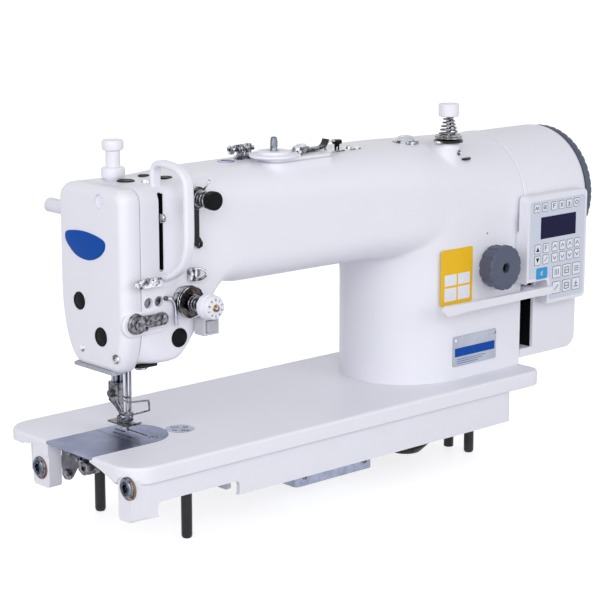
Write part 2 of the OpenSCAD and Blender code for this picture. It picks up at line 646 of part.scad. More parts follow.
module needle_crank() color("gray") at_feet() difference() {
    union() {
        rod_x(14, web_x0, web_x1, line_y, shaft_z);
        intersection() {
            rod_x(26, web_x0, web_x1, line_y, shaft_z);
            block([web_x0, line_y - 26, shaft_z], [web_x1, line_y + 26, shaft_z + 27]);
        }
        block([web_x0, line_y - 8, shaft_z - crank_r], [web_x1, line_y + 8, shaft_z]);
        rod_x(8, web_x0, web_x1, line_y, shaft_z - crank_r);
        rod_x(pin_r, link_x0 - 0.4, web_x0 + 1, line_y, shaft_z - crank_r);
    }
    rod_x(shaft_r + fit, web_x0 + 1.7, web_x1 + 1, line_y, shaft_z);
}

module needle_bar_link() color("silver") at_feet() difference() {
    union() {
        rod_x(8, link_x0, link_x1, line_y, shaft_z - crank_r);
        rod_x(7, link_x0, link_x1, line_y, bar_hub_z);
        block([link_x0, line_y - 4, bar_hub_z], [link_x1, line_y + 4, shaft_z - crank_r]);
    }
    rod_x(pin_r + fit, link_x0 - 1, link_x1 + 1, line_y, shaft_z - crank_r);
    rod_x(pin_r + fit, link_x0 - 1, link_x1 + 1, line_y, bar_hub_z);
}

module needle_bar() color("silver") at_feet() difference() {
    union() {
        rod_z(needle_bar_r, needle_bar_low, bar_top, needle_x, line_y);
        rod_z(needle_bar_r + 0.7, needle_bar_low, needle_bar_low + 8, needle_x, line_y);
        block([needle_x - 6, line_y - 7, bar_hub_z - 6], [lever_x0 - 1, line_y + 7, bar_hub_z + 6]);
        rod_x(pin_r, lever_x0 - 2, link_x0 - 0.5, line_y, bar_hub_z);
    }
    rod_z(1 + fit, needle_bar_low - 1, needle_bar_low + 12, needle_x, line_y);
}

module needle() color("silver") at_feet() {
    rod_z(1, needle_bar_low - 3, needle_bar_low + 11, needle_x, line_y);
    rod_z(0.6, -12, needle_bar_low - 2, needle_x, line_y);
    translate([needle_x, line_y, -15]) cylinder(r1 = 0.15, r2 = 0.6, h = 3.01);
}

module shaft_bushings() color("#b08d57") at_feet() {
    ring_x(shaft_r + bush_t, shaft_r + fit, bulkhead_x - 1, bulkhead_x + bulkhead_t, line_y, shaft_z);
    ring_x(shaft_r + bush_t, shaft_r + fit, arm_end - 12, arm_end, line_y, shaft_z);
    ring_x(hook_shaft_r + bush_t, hook_shaft_r + fit, needle_x + 21.5, needle_x + 42, line_y, hook_z);
    ring_x(hook_shaft_r + bush_t, hook_shaft_r + fit, skirt_end - 22, skirt_end - 6, line_y, hook_z);
    ring_z(needle_bar_r + 2.4, needle_bar_r + fit, head_low - 4, head_low + 20, needle_x, line_y);
    ring_z(needle_bar_r + 1.6, needle_bar_r + fit, bar_bush_z, head_top - arm_wall - 1, needle_x, line_y);
    ring_z(presser_r + 2, presser_r + fit, head_low - 6, head_low + 20, presser_x, presser_y);
}

// Toothed belt around the two pulleys, as one closed band
module belt_form(g) hull() {
    translate([line_y, shaft_z]) circle(r = pulley_r + g);
    translate([line_y, hook_z]) circle(r = low_pulley_r + g);
}
module timing_belt() color("#1d1d1f") at_feet() translate([belt_x - belt_w / 2 + 0.5, 0, 0])
    rotate([90, 0, 90]) linear_extrude(belt_w - 1) difference() {
        belt_form(gap + belt_t);
        belt_form(gap);
    }

module hook_shaft() color("silver") at_feet() {
    rod_x(hook_shaft_r, needle_x + 10, skirt_end - 5.5, line_y, hook_z);
    translate([belt_x - belt_w / 2, line_y, hook_z]) rotate([0, 90, 0]) {
        difference() {
            cylinder(r = low_pulley_r, h = belt_w);
            for (a = [0:30:330]) rotate(a) translate([low_pulley_r, 0, -1]) cylinder(r = 1.1, h = belt_w + 2);
        }
        for (z = [-2, belt_w]) translate([0, 0, z]) cylinder(r = low_pulley_r + 3, h = 2);
    }
}

// ---- Hook and bobbin ---------------------------------------------------------------------------

hook_x0 = needle_x + 1.2;
hook_x1 = needle_x + 9.7;
race_r = hook_r - 2.6;
case_r = hook_r - 5.8;

module rotating_hook() color("silver") at_feet() difference() {
    union() {
        rod_x(hook_r, hook_x0, hook_x1, line_y, hook_z);
        rod_x(hook_shaft_r + 1.4, hook_x1 - 1, needle_x + 20, line_y, hook_z);
    }
    rod_x(race_r + fit, hook_x0 - 1, hook_x1 - 2.5, line_y, hook_z);
    rod_x(hook_shaft_r + fit, needle_x + 9.8, needle_x + 21, line_y, hook_z);
    // Throat behind the hook's point
    block([hook_x0 - 1, line_y + 2, hook_z + 8], [hook_x1 - 4, line_y + 14, hook_z + hook_r + 1]);
}

module bobbin_case_holder() color("gainsboro") at_feet() difference() {
    union() {
        rod_x(case_r + 1.8, needle_x - 13, hook_x1 - 5, line_y, hook_z);
        rod_x(race_r, hook_x0 + 0.6, hook_x1 - 2.8, line_y, hook_z);
    }
    difference() {
        rod_x(case_r + 0.3, needle_x - 14, hook_x1 - 6, line_y, hook_z);
        rod_x(3, needle_x - 11, hook_x1 - 5, line_y, hook_z);
    }
    block([needle_x - 1.2, line_y - 2, hook_z + case_r - 1], [needle_x + 1.2, line_y + 2, hook_z + hook_r]);
}

module bobbin_case() color("silver") at_feet() {
    difference() {
        rod_x(case_r, needle_x - 13.5, needle_x - 2, line_y, hook_z);
        rod_x(case_r - 0.9, needle_x - 12.5, needle_x - 1, line_y, hook_z);
        rod_x(3 + fit, needle_x - 14, needle_x - 1, line_y, hook_z);
    }
    ring_x(4, 3 + fit, needle_x - 13, needle_x - 3, line_y, hook_z);
}

module bobbin() color("silver") at_feet() difference() {
    union() {
        rod_x(5.5, needle_x - 12, needle_x - 3, line_y, hook_z);
        for (x = [-12, -3.8]) rod_x(case_r - 1.4, needle_x + x, needle_x + x + 0.8, line_y, hook_z);
        rod_x(8.5, needle_x - 11.3, needle_x - 3.7, line_y, hook_z);
    }
    rod_x(4 + fit, needle_x - 13, needle_x - 2, line_y, hook_z);
}

// ---- Take-up and presser -------------------------------------------------------------------------

module take_up_lever() color("silver") at_feet() {
    difference() {
        union() {
            rod_x(9, lever_x0, lever_x1 + 0.6, lever_pivot[0], lever_pivot[1]);
            hull() {
                rod_x(6, lever_x0, lever_x1, lever_pivot[0], lever_pivot[1]);
                rod_x(4, lever_x0, lever_x1, line_y - 14, lever_pivot[1] + 4);
            }
            block([needle_x + 1, line_y - 18, lever_pivot[1]], [lever_x1, line_y - 12, lever_pivot[1] + 8]);
            hull() {
                rod_x(4, needle_x + 1, needle_x + 4, line_y - 15, lever_pivot[1] + 4);
                rod_x(3, needle_x + 1, needle_x + 4, eye_y, eye_z);
            }
        }
        rod_x(4.5 + fit, lever_x0 - 1, lever_x1 + 2, lever_pivot[0], lever_pivot[1]);
        rod_x(1.2, needle_x, needle_x + 5, eye_y, eye_z);
    }
}

module presser_bar() color("silver") at_feet() {
    rod_z(presser_r, 22, shaft_z - 4, presser_x, presser_y);
    rod_z(presser_r + 2, shaft_z - 10, shaft_z - 4.5, presser_x, presser_y);
    rod_z(2.5, shaft_z - 5, head_top - 8, presser_x, presser_y);
}

// Wound spring around the upper rod, as a ribbed sleeve
module presser_spring() color("gray") at_feet() translate([presser_x, presser_y, 0])
    rotate_extrude() polygon(concat([[3.2, shaft_z - 3.9]],
        [for (i = [0:22]) [i % 2 == 0 ? 5.2 : 5.9, shaft_z - 3.9 + i * 2]], [[3.2, shaft_z + 40.1]]));

module presser_regulator() color("white") at_feet() difference() {
    union() {
        rod_z(7.5, shaft_z + 41, head_top + 8, presser_x, presser_y);
        rod_z(9.6, head_top + plug_rise + gap, head_top + 10, presser_x, presser_y);
        rod_z(6, head_top + 9, head_top + 25, presser_x, presser_y);
        rod_z(8.7, head_top + 24, head_top + 32, presser_x, presser_y);
    }
    rod_z(3, shaft_z + 40, head_top + 2, presser_x, presser_y);
}

sole_y = presser_y - 7.5;
sole_z = foot_gap + 5;
module presser_foot() color("silver") at_feet() difference() {
    union() {
        block([presser_x - 5.5, presser_y - 6, 22.5], [presser_x + 5.5, presser_y + 6.5, 40]);
        block([presser_x - 3, sole_y - 3, foot_gap + 3], [presser_x + 3, presser_y + 3, 23]);
        rod_x(3, presser_x - 3, presser_x + 3, sole_y, sole_z);
        rod_x(3.2, presser_x - 9, presser_x - 5, presser_y, 31);
    }
    rod_z(presser_r + fit, 21, 41, presser_x, presser_y);
    rod_x(1.5 + fit, presser_x - 7, presser_x + 7, sole_y, sole_z);
}

module presser_sole() color("silver") at_feet() difference() {
    union() {
        block([presser_x - 8, sole_y - 19, foot_gap], [presser_x + 4.5, sole_y + 12, foot_gap + 1.6]);
        for (x = [-5.2, 3.4]) block([presser_x + x, sole_y - 3, foot_gap + 1],
            [presser_x + x + 1.8, sole_y + 3, foot_gap + 7.5]);
        rod_x(1.5, presser_x - 5, presser_x + 5, sole_y, sole_z);
    }
    block([needle_x - 1.3, sole_y - 20, foot_gap - 1], [needle_x + 1.3, line_y + 3, foot_gap + 2]);
}

module hand_lifter() color("white") at_feet() difference() {
    union() {
        rod_y(4, head_rear - arm_wall - 6, head_rear + 8, seam_x + 6.5, shaft_z + 30);
        rod_y(5.5, head_rear - arm_wall - 10, head_rear - arm_wall - 4.2, seam_x + 6.5, shaft_z + 30);
        rod_y(6, head_rear + gap, head_rear + 45, seam_x + 6.5, shaft_z + 30);
    }
    block([seam_x + 4, head_rear + 30, shaft_z + 34], [seam_x + 9, head_rear + 40, shaft_z + 40]);
}

// ---- Feed ------------------------------------------------------------------------------------

module feed_rock_shaft() color("silver") at_feet() {
    rod_x(rock_r, 4, skirt_end - 27, rock_y, rock_z);
    for (x = [bar_x0 - 4.3, bar_x1 + 0.3]) {
        rod_x(rock_r + 1, x, x + 4, rock_y, rock_z);
        block([x, rock_y - 4, rock_z - rock_arm], [x + 4, rock_y + 4, rock_z]);
        rod_x(4, x, x + 4, rock_y, rock_z - rock_arm);
    }
    rod_x(2.5, bar_x0 - 4, bar_x1 + 4, rock_y, rock_z - rock_arm);
}

module feed_lift_shaft() color("silver") at_feet() {
    rod_x(lift_r, 4, skirt_end - 27, lift_y, lift_z);
    block([needle_x - 1, lift_y, feed_z - feed_h / 2 - gap - 4],
        [needle_x + 6, line_y - 32, feed_z - feed_h / 2 - gap]);
}

module feed_bar() color("gray") at_feet() difference() {
    union() {
        block([bar_x0, line_y - 37, feed_z - feed_h / 2], [bar_x1, rock_y - 8, feed_z + feed_h / 2]);
        block([needle_x - 3, line_y - 37, feed_z - feed_h / 2], [bar_x1, line_y - 27, feed_z + feed_h / 2]);
        block([bar_x0, rock_y - 18, rock_z - rock_arm - 3], [bar_x1, rock_y - 8, feed_z]);
        block([bar_x0, rock_y - 12, rock_z - rock_arm - 3], [bar_x1, rock_y, rock_z - rock_arm + 3]);
        rod_x(4.5, bar_x0, bar_x1, rock_y, rock_z - rock_arm);
        block([bar_x0, line_y - 6, feed_z], [bar_x1, line_y + 8, -5.3]);
    }
    rod_x(2.5 + fit, bar_x0 - 1, bar_x1 + 1, rock_y, rock_z - rock_arm);
}

module feed_dog() color("silver") at_feet() difference() {
    union() {
        block([needle_x - 9, plate_y - 12, -5.2], [needle_x + 9, line_y + 17, -3.3]);
        block([needle_x, line_y - 6, -5.2], [bar_x1, line_y + 8, -3.3]);
        for (x = feed_slots) {
            y0 = x == needle_x ? line_y + 7 : plate_y - 11;
            y1 = x == needle_x ? line_y + 20 : plate_y + 22.8;
            block([x - 0.9, y0, -4], [x + 0.9, min(y1, line_y + 17), -1.4]);
            for (y = [y0:1.6:min(y1, line_y + 17) - 1.6]) translate([x - 0.9, y, -1.5])
                rotate([90, 0, 90]) linear_extrude(1.8) polygon([[0, 0], [1.5, 0], [1.2, 1.1]]);
        }
    }
    rod_z(3, -6, 0, needle_x, line_y);
}

// ---- Controls and thread fittings ---------------------------------------------------------------

module reverse_lever() color("white") at_feet() difference() {
    union() {
        block([column_x + 58, panel_y - 7, lever_at[1] - 2],
            [lever_x + lever_hub + 7, panel_y - 2, lever_at[1] + 5]);
        hull() {
            rod_y(4.6, panel_y - 7, panel_y - 2, column_x + 35.6, lever_at[1] + 1);
            rod_y(4.2, panel_y - 7, panel_y - 2, column_x + 60, lever_at[1] + 1.2);
        }
        block([lever_x, panel_y - 7, lever_at[1] - 3], [lever_x + lever_hub, lever_at[0], lever_at[1] + 4]);
        rod_x(8, lever_x, lever_x + lever_hub, lever_at[0], lever_at[1]);
    }
    rod_x(4 + fit, lever_x - 1, lever_x + lever_hub + 1, lever_at[0], lever_at[1]);
}

module stitch_dial() color("#4a4f59") at_feet() difference() {
    union() {
        rod_y(dial_r, panel_y - 6, dial_rear, dial_x, dial_z);
        rod_y(6, dial_rear - 1, column_front + arm_wall + 3, dial_x, dial_z);
    }
    for (a = [0:30:330]) translate([dial_x, 0, dial_z]) rotate([0, a, 0])
        rod_y(4, panel_y - 7, dial_rear - 8, dial_r + 2.6, 0);
    rod_y(4, panel_y - 7, panel_y, dial_x, dial_z);
}

module tension_units() color("silver") at_feet() {
    // Main tension: post, two discs and check spring
    rod_y(4, tension_y - 1, head_front + arm_wall - 1.2, tension_x, tension_z);
    rod_y(2.5, 3, tension_y, tension_x, tension_z);
    ring_y(11, 4 + fit, tension_y - 4, tension_y, tension_x, tension_z);
    for (y = [6.2, 8]) ring_y(12.5, 2.5 + fit, tension_y - y, tension_y - y + 1.2, tension_x, tension_z);
    ring_y(6, 2.5 + fit, 20.5, tension_y - 8.2, tension_x, tension_z);
    // Pre-tension: post, disc and spring
    rod_y(2.5, pre_y - 21, head_front + arm_wall - 1.2, pre_at[0], pre_at[1]);
    for (y = [1.4, 3]) ring_y(8.5, 2.5 + fit, pre_y - y, pre_y - y + 1.2, pre_at[0], pre_at[1]);
    ring_y(5.5, 2.5 + fit, pre_y - 10, pre_y - 3.2, pre_at[0], pre_at[1]);
    // Thread post on the arm: stud, plate, discs and spring
    rod_z(3, post_z - 11.5, post_z + 1, post_x, post_y);
    rod_z(2.5, post_z, post_cap_z + 10, post_x, post_y);
    difference() {
        block([post_x - 14, post_y - 10, post_z + 0.05], [post_x + 14, post_y + 10, post_z + 1.8]);
        rod_z(3 + fit, post_z - 1, post_z + 3, post_x, post_y);
    }
    for (z = [2.2, 4]) ring_z(9, 3 + fit, post_z + z, post_z + z + 1.2, post_x, post_y);
    ring_z(6, 2.5 + fit, post_z + 5.4, post_cap_z, post_x, post_y);
}

module tension_knob() color("whitesmoke") at_feet() difference() {
    union() {
        rod_y(tension_knob_r, 5, 20, tension_x, tension_z);
        rod_y(tension_knob_r + 1.5, 13, 19, tension_x, tension_z);
    }
    rod_y(2.5 + fit, 4, 21, tension_x, tension_z);
}

module pre_tension_nut() color("#26282c") at_feet()
    ring_y(7, 2.5 + fit, pre_y - 18.5, pre_y - 10.2, pre_at[0], pre_at[1]);

module post_tension_cap() color("white") at_feet() difference() {
    union() {
        rod_z(9, post_cap_z + 3, post_cap_z + 12, post_x, post_y);
        rod_z(7.5, post_cap_z + 0.2, post_cap_z + 4, post_x, post_y);
    }
    rod_z(2.5 + fit, post_cap_z, post_cap_z + 10.3, post_x, post_y);
}

module take_up_guard() color("white") at_feet() translate([guard_x - 4.5, 0, 0]) rotate([90, 0, 90])
    linear_extrude(9) polygon([for (p = [
        [6, 0], [6, 14], [3, 19], [-5, 21.5], [-15, 21], [-31, 18], [-38, 13], [-40.5, 5], [-41, -38],
        [-39, -50], [-33, -62], [-23, -70], [-7, -77], [-7, -70], [-19, -64.5], [-28, -58], [-33.5, -48],
        [-35.5, -36], [-35, 2], [-32.5, 8], [-27, 12.5], [-15, 15.5], [-5, 16], [-1, 14], [0.5, 10],
        [0.5, 0]]) [guard_y + p[0], head_top + p[1]]]);

module thread_guides() color("silver") at_feet() {
    // Three-hole guide on the head's front
    difference() {
        union() {
            block([36, head_front - 7, 132], [needle_x - 1, head_front - 5.5, 138]);
            block([50, head_front - 6, 132], [58, head_front, 138]);
        }
        for (x = [39, 43, 47]) rod_y(1.2, head_front - 8, head_front - 5, x, 135);
    }
    // Clamped steel arm below it
    difference() {
        union() {
            block([24, head_front - 10, 100], [62, head_front - 8, 108]);
            block([50, head_front - 9, 100], [62, head_front, 108]);
        }
        rod_y(1.5, head_front - 11, head_front - 7, 28, 104);
    }
    // Hook beside the tension, bracket above it and strip under the pre-tension
    block([70, head_front - 3, 98], [75, head_front, 118]);
    block([92, head_front - 8, 130], [105, head_front - 1, 141]);
    difference() {
        block([pre_at[0] - 4, head_front - 3.5, 160], [pre_at[0] + 4, head_front - 1.8, pre_at[1] - 9.2]);
        rod_y(1.5, head_front - 5, head_front, pre_at[0], 163);
    }
    // Thread guide on the arm
    rod_z(3, roof(guide_at[0], guide_at[1]), arm_top + 8, guide_at[0], guide_at[1]);
    block([guide_at[0] - 7, guide_at[1] - 3, arm_top + 8], [guide_at[0] + 7, guide_at[1] + 3, arm_top + 9.5]);
}

module winder_base() color("silver") at_feet() difference() {
    union() {
        block([winder_x - 10, winder_y - 12, winder_z], [winder_x + 58, winder_y + 14, winder_z + 3]);
        rod_z(spindle_r + 2, arm_top - 11.5, winder_z + 5, winder_x, winder_y);
        rod_z(4, winder_z, winder_z + 10, winder_x + 36, winder_y + 6);
    }
    rod_z(spindle_r + fit, arm_top - 13, winder_z + 6, winder_x, winder_y);
}

module winder_spindle() color("whitesmoke") at_feet() {
    rod_z(spindle_r, arm_top - 11, winder_z + 20, winder_x, winder_y);
    rod_z(17, winder_z + 5.3, winder_z + 8, winder_x, winder_y);
    rod_z(12, winder_z + 7, winder_z + 10, winder_x, winder_y);
}

module winder_lever() color("silver") at_feet() difference() {
    union() {
        rod_z(7, winder_z + 3.3, winder_z + 8, winder_x + 36, winder_y + 6);
        block([winder_x + 34, winder_y + 2, winder_z + 3.3], [winder_x + 60, winder_y + 10, winder_z + 6]);
    }
    rod_z(4 + fit, winder_z + 3, winder_z + 9, winder_x + 36, winder_y + 6);
}

module switch_box() color("#8d9096") at_feet() difference() {
    block([needle_x + 33.5, head_front - 14, 86], [needle_x + 49.5, head_front - 1.6, 100.5]);
    block([needle_x + 36, head_front - 15, 88.2], [needle_x + 47, head_front - 8.5, 98.3]);
}

module touch_switch() color("#1c1d20") at_feet()
    block([needle_x + 36.3, head_front - 16, 88.5], [needle_x + 46.7, head_front - 10, 98]);

// ---- Output ----------------------------------------------------------------------------------

bed_casting();
arm_casting();
face_cover();
motor_cover();
control_box();
control_panel();
display_window();
keypad();
control_board();
motor_stator();
shaft_bushings();
timing_belt();
bobbin_case_holder();
bobbin_case();
plugs();
needle_plate();
rest_pins();
oil_pump();
solenoid_box();
nameplates();
take_up_guard();
thread_guides();
tension_units();
cover_screws();
oil_window();
lamp();
winder_base();
switch_box();
main_shaft();
needle_crank();
motor_rotor();
handwheel();
hook_shaft();
rotating_hook();
bobbin();
needle_bar();
needle();
needle_bar_link();
take_up_lever();
presser_bar();
presser_spring();
presser_regulator();
presser_foot();
presser_sole();
hand_lifter();
feed_rock_shaft();
feed_lift_shaft();
feed_bar();
feed_dog();
slide_plate();
knee_lift_pin();
stitch_dial();
reverse_lever();
tension_knob();
pre_tension_nut();
post_tension_cap();
winder_spindle();
winder_lever();
touch_switch();
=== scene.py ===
"""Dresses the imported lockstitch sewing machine: enamel castings, plated steel, moulded covers."""
from math import cos, pi, radians, sin, sqrt

import bpy
import bmesh
from bpy.props import FloatProperty, FloatVectorProperty, IntProperty, PointerProperty
from mathutils import Matrix, Vector


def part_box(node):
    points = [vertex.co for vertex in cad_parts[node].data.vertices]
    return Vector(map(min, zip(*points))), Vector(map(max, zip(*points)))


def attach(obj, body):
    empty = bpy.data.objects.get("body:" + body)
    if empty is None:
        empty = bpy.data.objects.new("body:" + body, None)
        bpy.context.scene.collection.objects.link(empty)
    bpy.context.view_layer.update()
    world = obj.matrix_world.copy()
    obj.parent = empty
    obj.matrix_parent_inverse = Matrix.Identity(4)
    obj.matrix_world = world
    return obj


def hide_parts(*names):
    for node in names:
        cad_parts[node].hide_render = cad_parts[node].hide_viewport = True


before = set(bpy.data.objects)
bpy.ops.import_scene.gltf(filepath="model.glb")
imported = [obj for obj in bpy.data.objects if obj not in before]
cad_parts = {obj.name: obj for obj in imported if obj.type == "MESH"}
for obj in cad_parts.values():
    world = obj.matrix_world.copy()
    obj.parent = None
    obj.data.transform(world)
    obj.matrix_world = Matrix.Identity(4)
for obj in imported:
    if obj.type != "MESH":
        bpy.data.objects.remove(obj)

bl_info = {
    "name": "Lockstitch Sewing Machine",
    "version": (1, 0, 0),
    "blender": (4, 5, 0),
    "location": "3D View > Sidebar > Sewing Machine",
    "description": "Builds the finished surfaces of an industrial lockstitch sewing machine",
    "category": "Object",
}

MM = 0.001
BED_LOW, BED_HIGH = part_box("bed_casting")
# Left front corner of the bed's top face: every size below is in millimetres from here
CORNER = Vector((BED_LOW.x, BED_LOW.y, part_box("needle_plate")[1].z))
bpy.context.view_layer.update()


def place(p):
    """A point in millimetres from the bed's corner, in metres in the shared frame."""
    return CORNER + Vector(p) * MM


def spot(node):
    """Low and high corners of a CAD node, in millimetres from the bed's corner."""
    low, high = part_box(node)
    return (low - CORNER) / MM, (high - CORNER) / MM


def middle(node):
    """Centre of a CAD node's box, in millimetres from the bed's corner."""
    low, high = spot(node)
    return (low + high) / 2


# ---- Materials ----------------------------------------------------------------------------------

def colour(code):
    """Linear colour of an sRGB hex value; a colour property is linear already."""
    if not isinstance(code, str):
        return list(code)[:3] + [1.0]
    parts = [int(code[i:i + 2], 16) / 255 for i in (1, 3, 5)]
    return [c / 12.92 if c < 0.04045 else ((c + 0.055) / 1.055) ** 2.4 for c in parts] + [1.0]


def add_node(tree, kind, links=None, **settings):
    """Adds one node with its properties, socket values and incoming links."""
    node = tree.nodes.new(kind)
    for key, value in settings.items():
        if hasattr(node, key):
            setattr(node, key, value)
        else:
            node.inputs[key.replace("_", " ")].default_value = value
    for socket, source in (links or {}).items():
        tree.links.new(source, node.inputs[socket])
    return node


MADE = {}


def finish_of(name, code, rough=0.4, metal=0.0, grain=1.0, depth=0.0, vary=0.03, stretch=(1, 1, 1),
        rough_vary=0.05, wear=None, film=None, patch=35.0, soft=0.5, drag=(1, 1, 1), **socket):
    """One surface: base colour with slight variation, uneven roughness and a fine relief.

    grain is the relief's spacing in millimetres and depth its height in millimetres. stretch draws the
    relief out along an axis, as brushing does. wear is the colour that shows along worn edges. film is
    the colour laid in patches: oil, scale or mottling on most metals, painted dark reflections on the
    chrome ones. patch is their size in millimetres, soft how gently they fade, and the scale after soft
    draws them out along an axis, into the painted reflection streaks of the bars.
    """
    mat = bpy.data.materials.new(name)
    mat.use_nodes = True
    mat.diffuse_color = colour(code)
    tree = mat.node_tree
    shader = tree.nodes["Principled BSDF"]
    shader.inputs["Metallic"].default_value = metal
    for key, value in socket.items():
        shader.inputs[key.replace("_", " ")].default_value = value
    where = add_node(tree, "ShaderNodeTexCoord")
    drawn = add_node(tree, "ShaderNodeMapping", {"Vector": where.outputs["Object"]}, Scale=stretch)
    streaked = add_node(tree, "ShaderNodeMapping", {"Vector": where.outputs["Object"]}, Scale=drag)
    cloud = add_node(tree, "ShaderNodeTexNoise", {"Vector": streaked.outputs["Vector"]},
        Scale=1 / (patch * MM), Detail=4.0, Roughness=0.6)
    fine = add_node(tree, "ShaderNodeTexNoise", {"Vector": drawn.outputs["Vector"]}, Scale=1 / (grain * MM),
        Detail=3.0, Roughness=0.55)
    base = colour(code)
    dark = [c * (1 - vary) for c in base[:3]] + [1.0]
    light = [min(c * (1 + vary), 1.0) for c in base[:3]] + [1.0]
    spread = add_node(tree, "ShaderNodeMapRange", {"Value": cloud.outputs["Fac"]}, From_Min=0.5 - soft,
        From_Max=0.5 + soft)
    tint = add_node(tree, "ShaderNodeMix", {"Factor": spread.outputs["Result"]}, data_type="RGBA")
    tint.inputs[6].default_value = colour(film) if film else dark
    tint.inputs[7].default_value = light
    out = tint.outputs[2]
    if wear:
        # Worn edges: pointiness is high on convex edges of a dense mesh
        geometry = add_node(tree, "ShaderNodeNewGeometry")
        rubbed = add_node(tree, "ShaderNodeMath", {0: cloud.outputs["Fac"]}, operation="MULTIPLY")
        rubbed.inputs[1].default_value = 0.08
        edge = add_node(tree, "ShaderNodeMath", {0: geometry.outputs["Pointiness"], 1: rubbed.outputs[0]},
            operation="ADD")
        ramp = add_node(tree, "ShaderNodeMapRange", {"Value": edge.outputs[0]}, From_Min=0.58,
            From_Max=0.66)
        worn = add_node(tree, "ShaderNodeMix", {0: ramp.outputs["Result"], 6: out}, data_type="RGBA")
        worn.inputs[7].default_value = colour(wear)
        out = worn.outputs[2]
    tree.links.new(out, shader.inputs["Base Color"])
    gloss = add_node(tree, "ShaderNodeMapRange", {"Value": cloud.outputs["Fac"]}, From_Min=0.3,
        From_Max=0.7, To_Min=max(rough - rough_vary, 0.02), To_Max=rough + rough_vary)
    tree.links.new(gloss.outputs["Result"], shader.inputs["Roughness"])
    if depth:
        relief = add_node(tree, "ShaderNodeBump", {"Height": fine.outputs["Fac"]}, Strength=1.0,
            Distance=depth * MM)
        tree.links.new(relief.outputs["Normal"], shader.inputs["Normal"])
    return mat


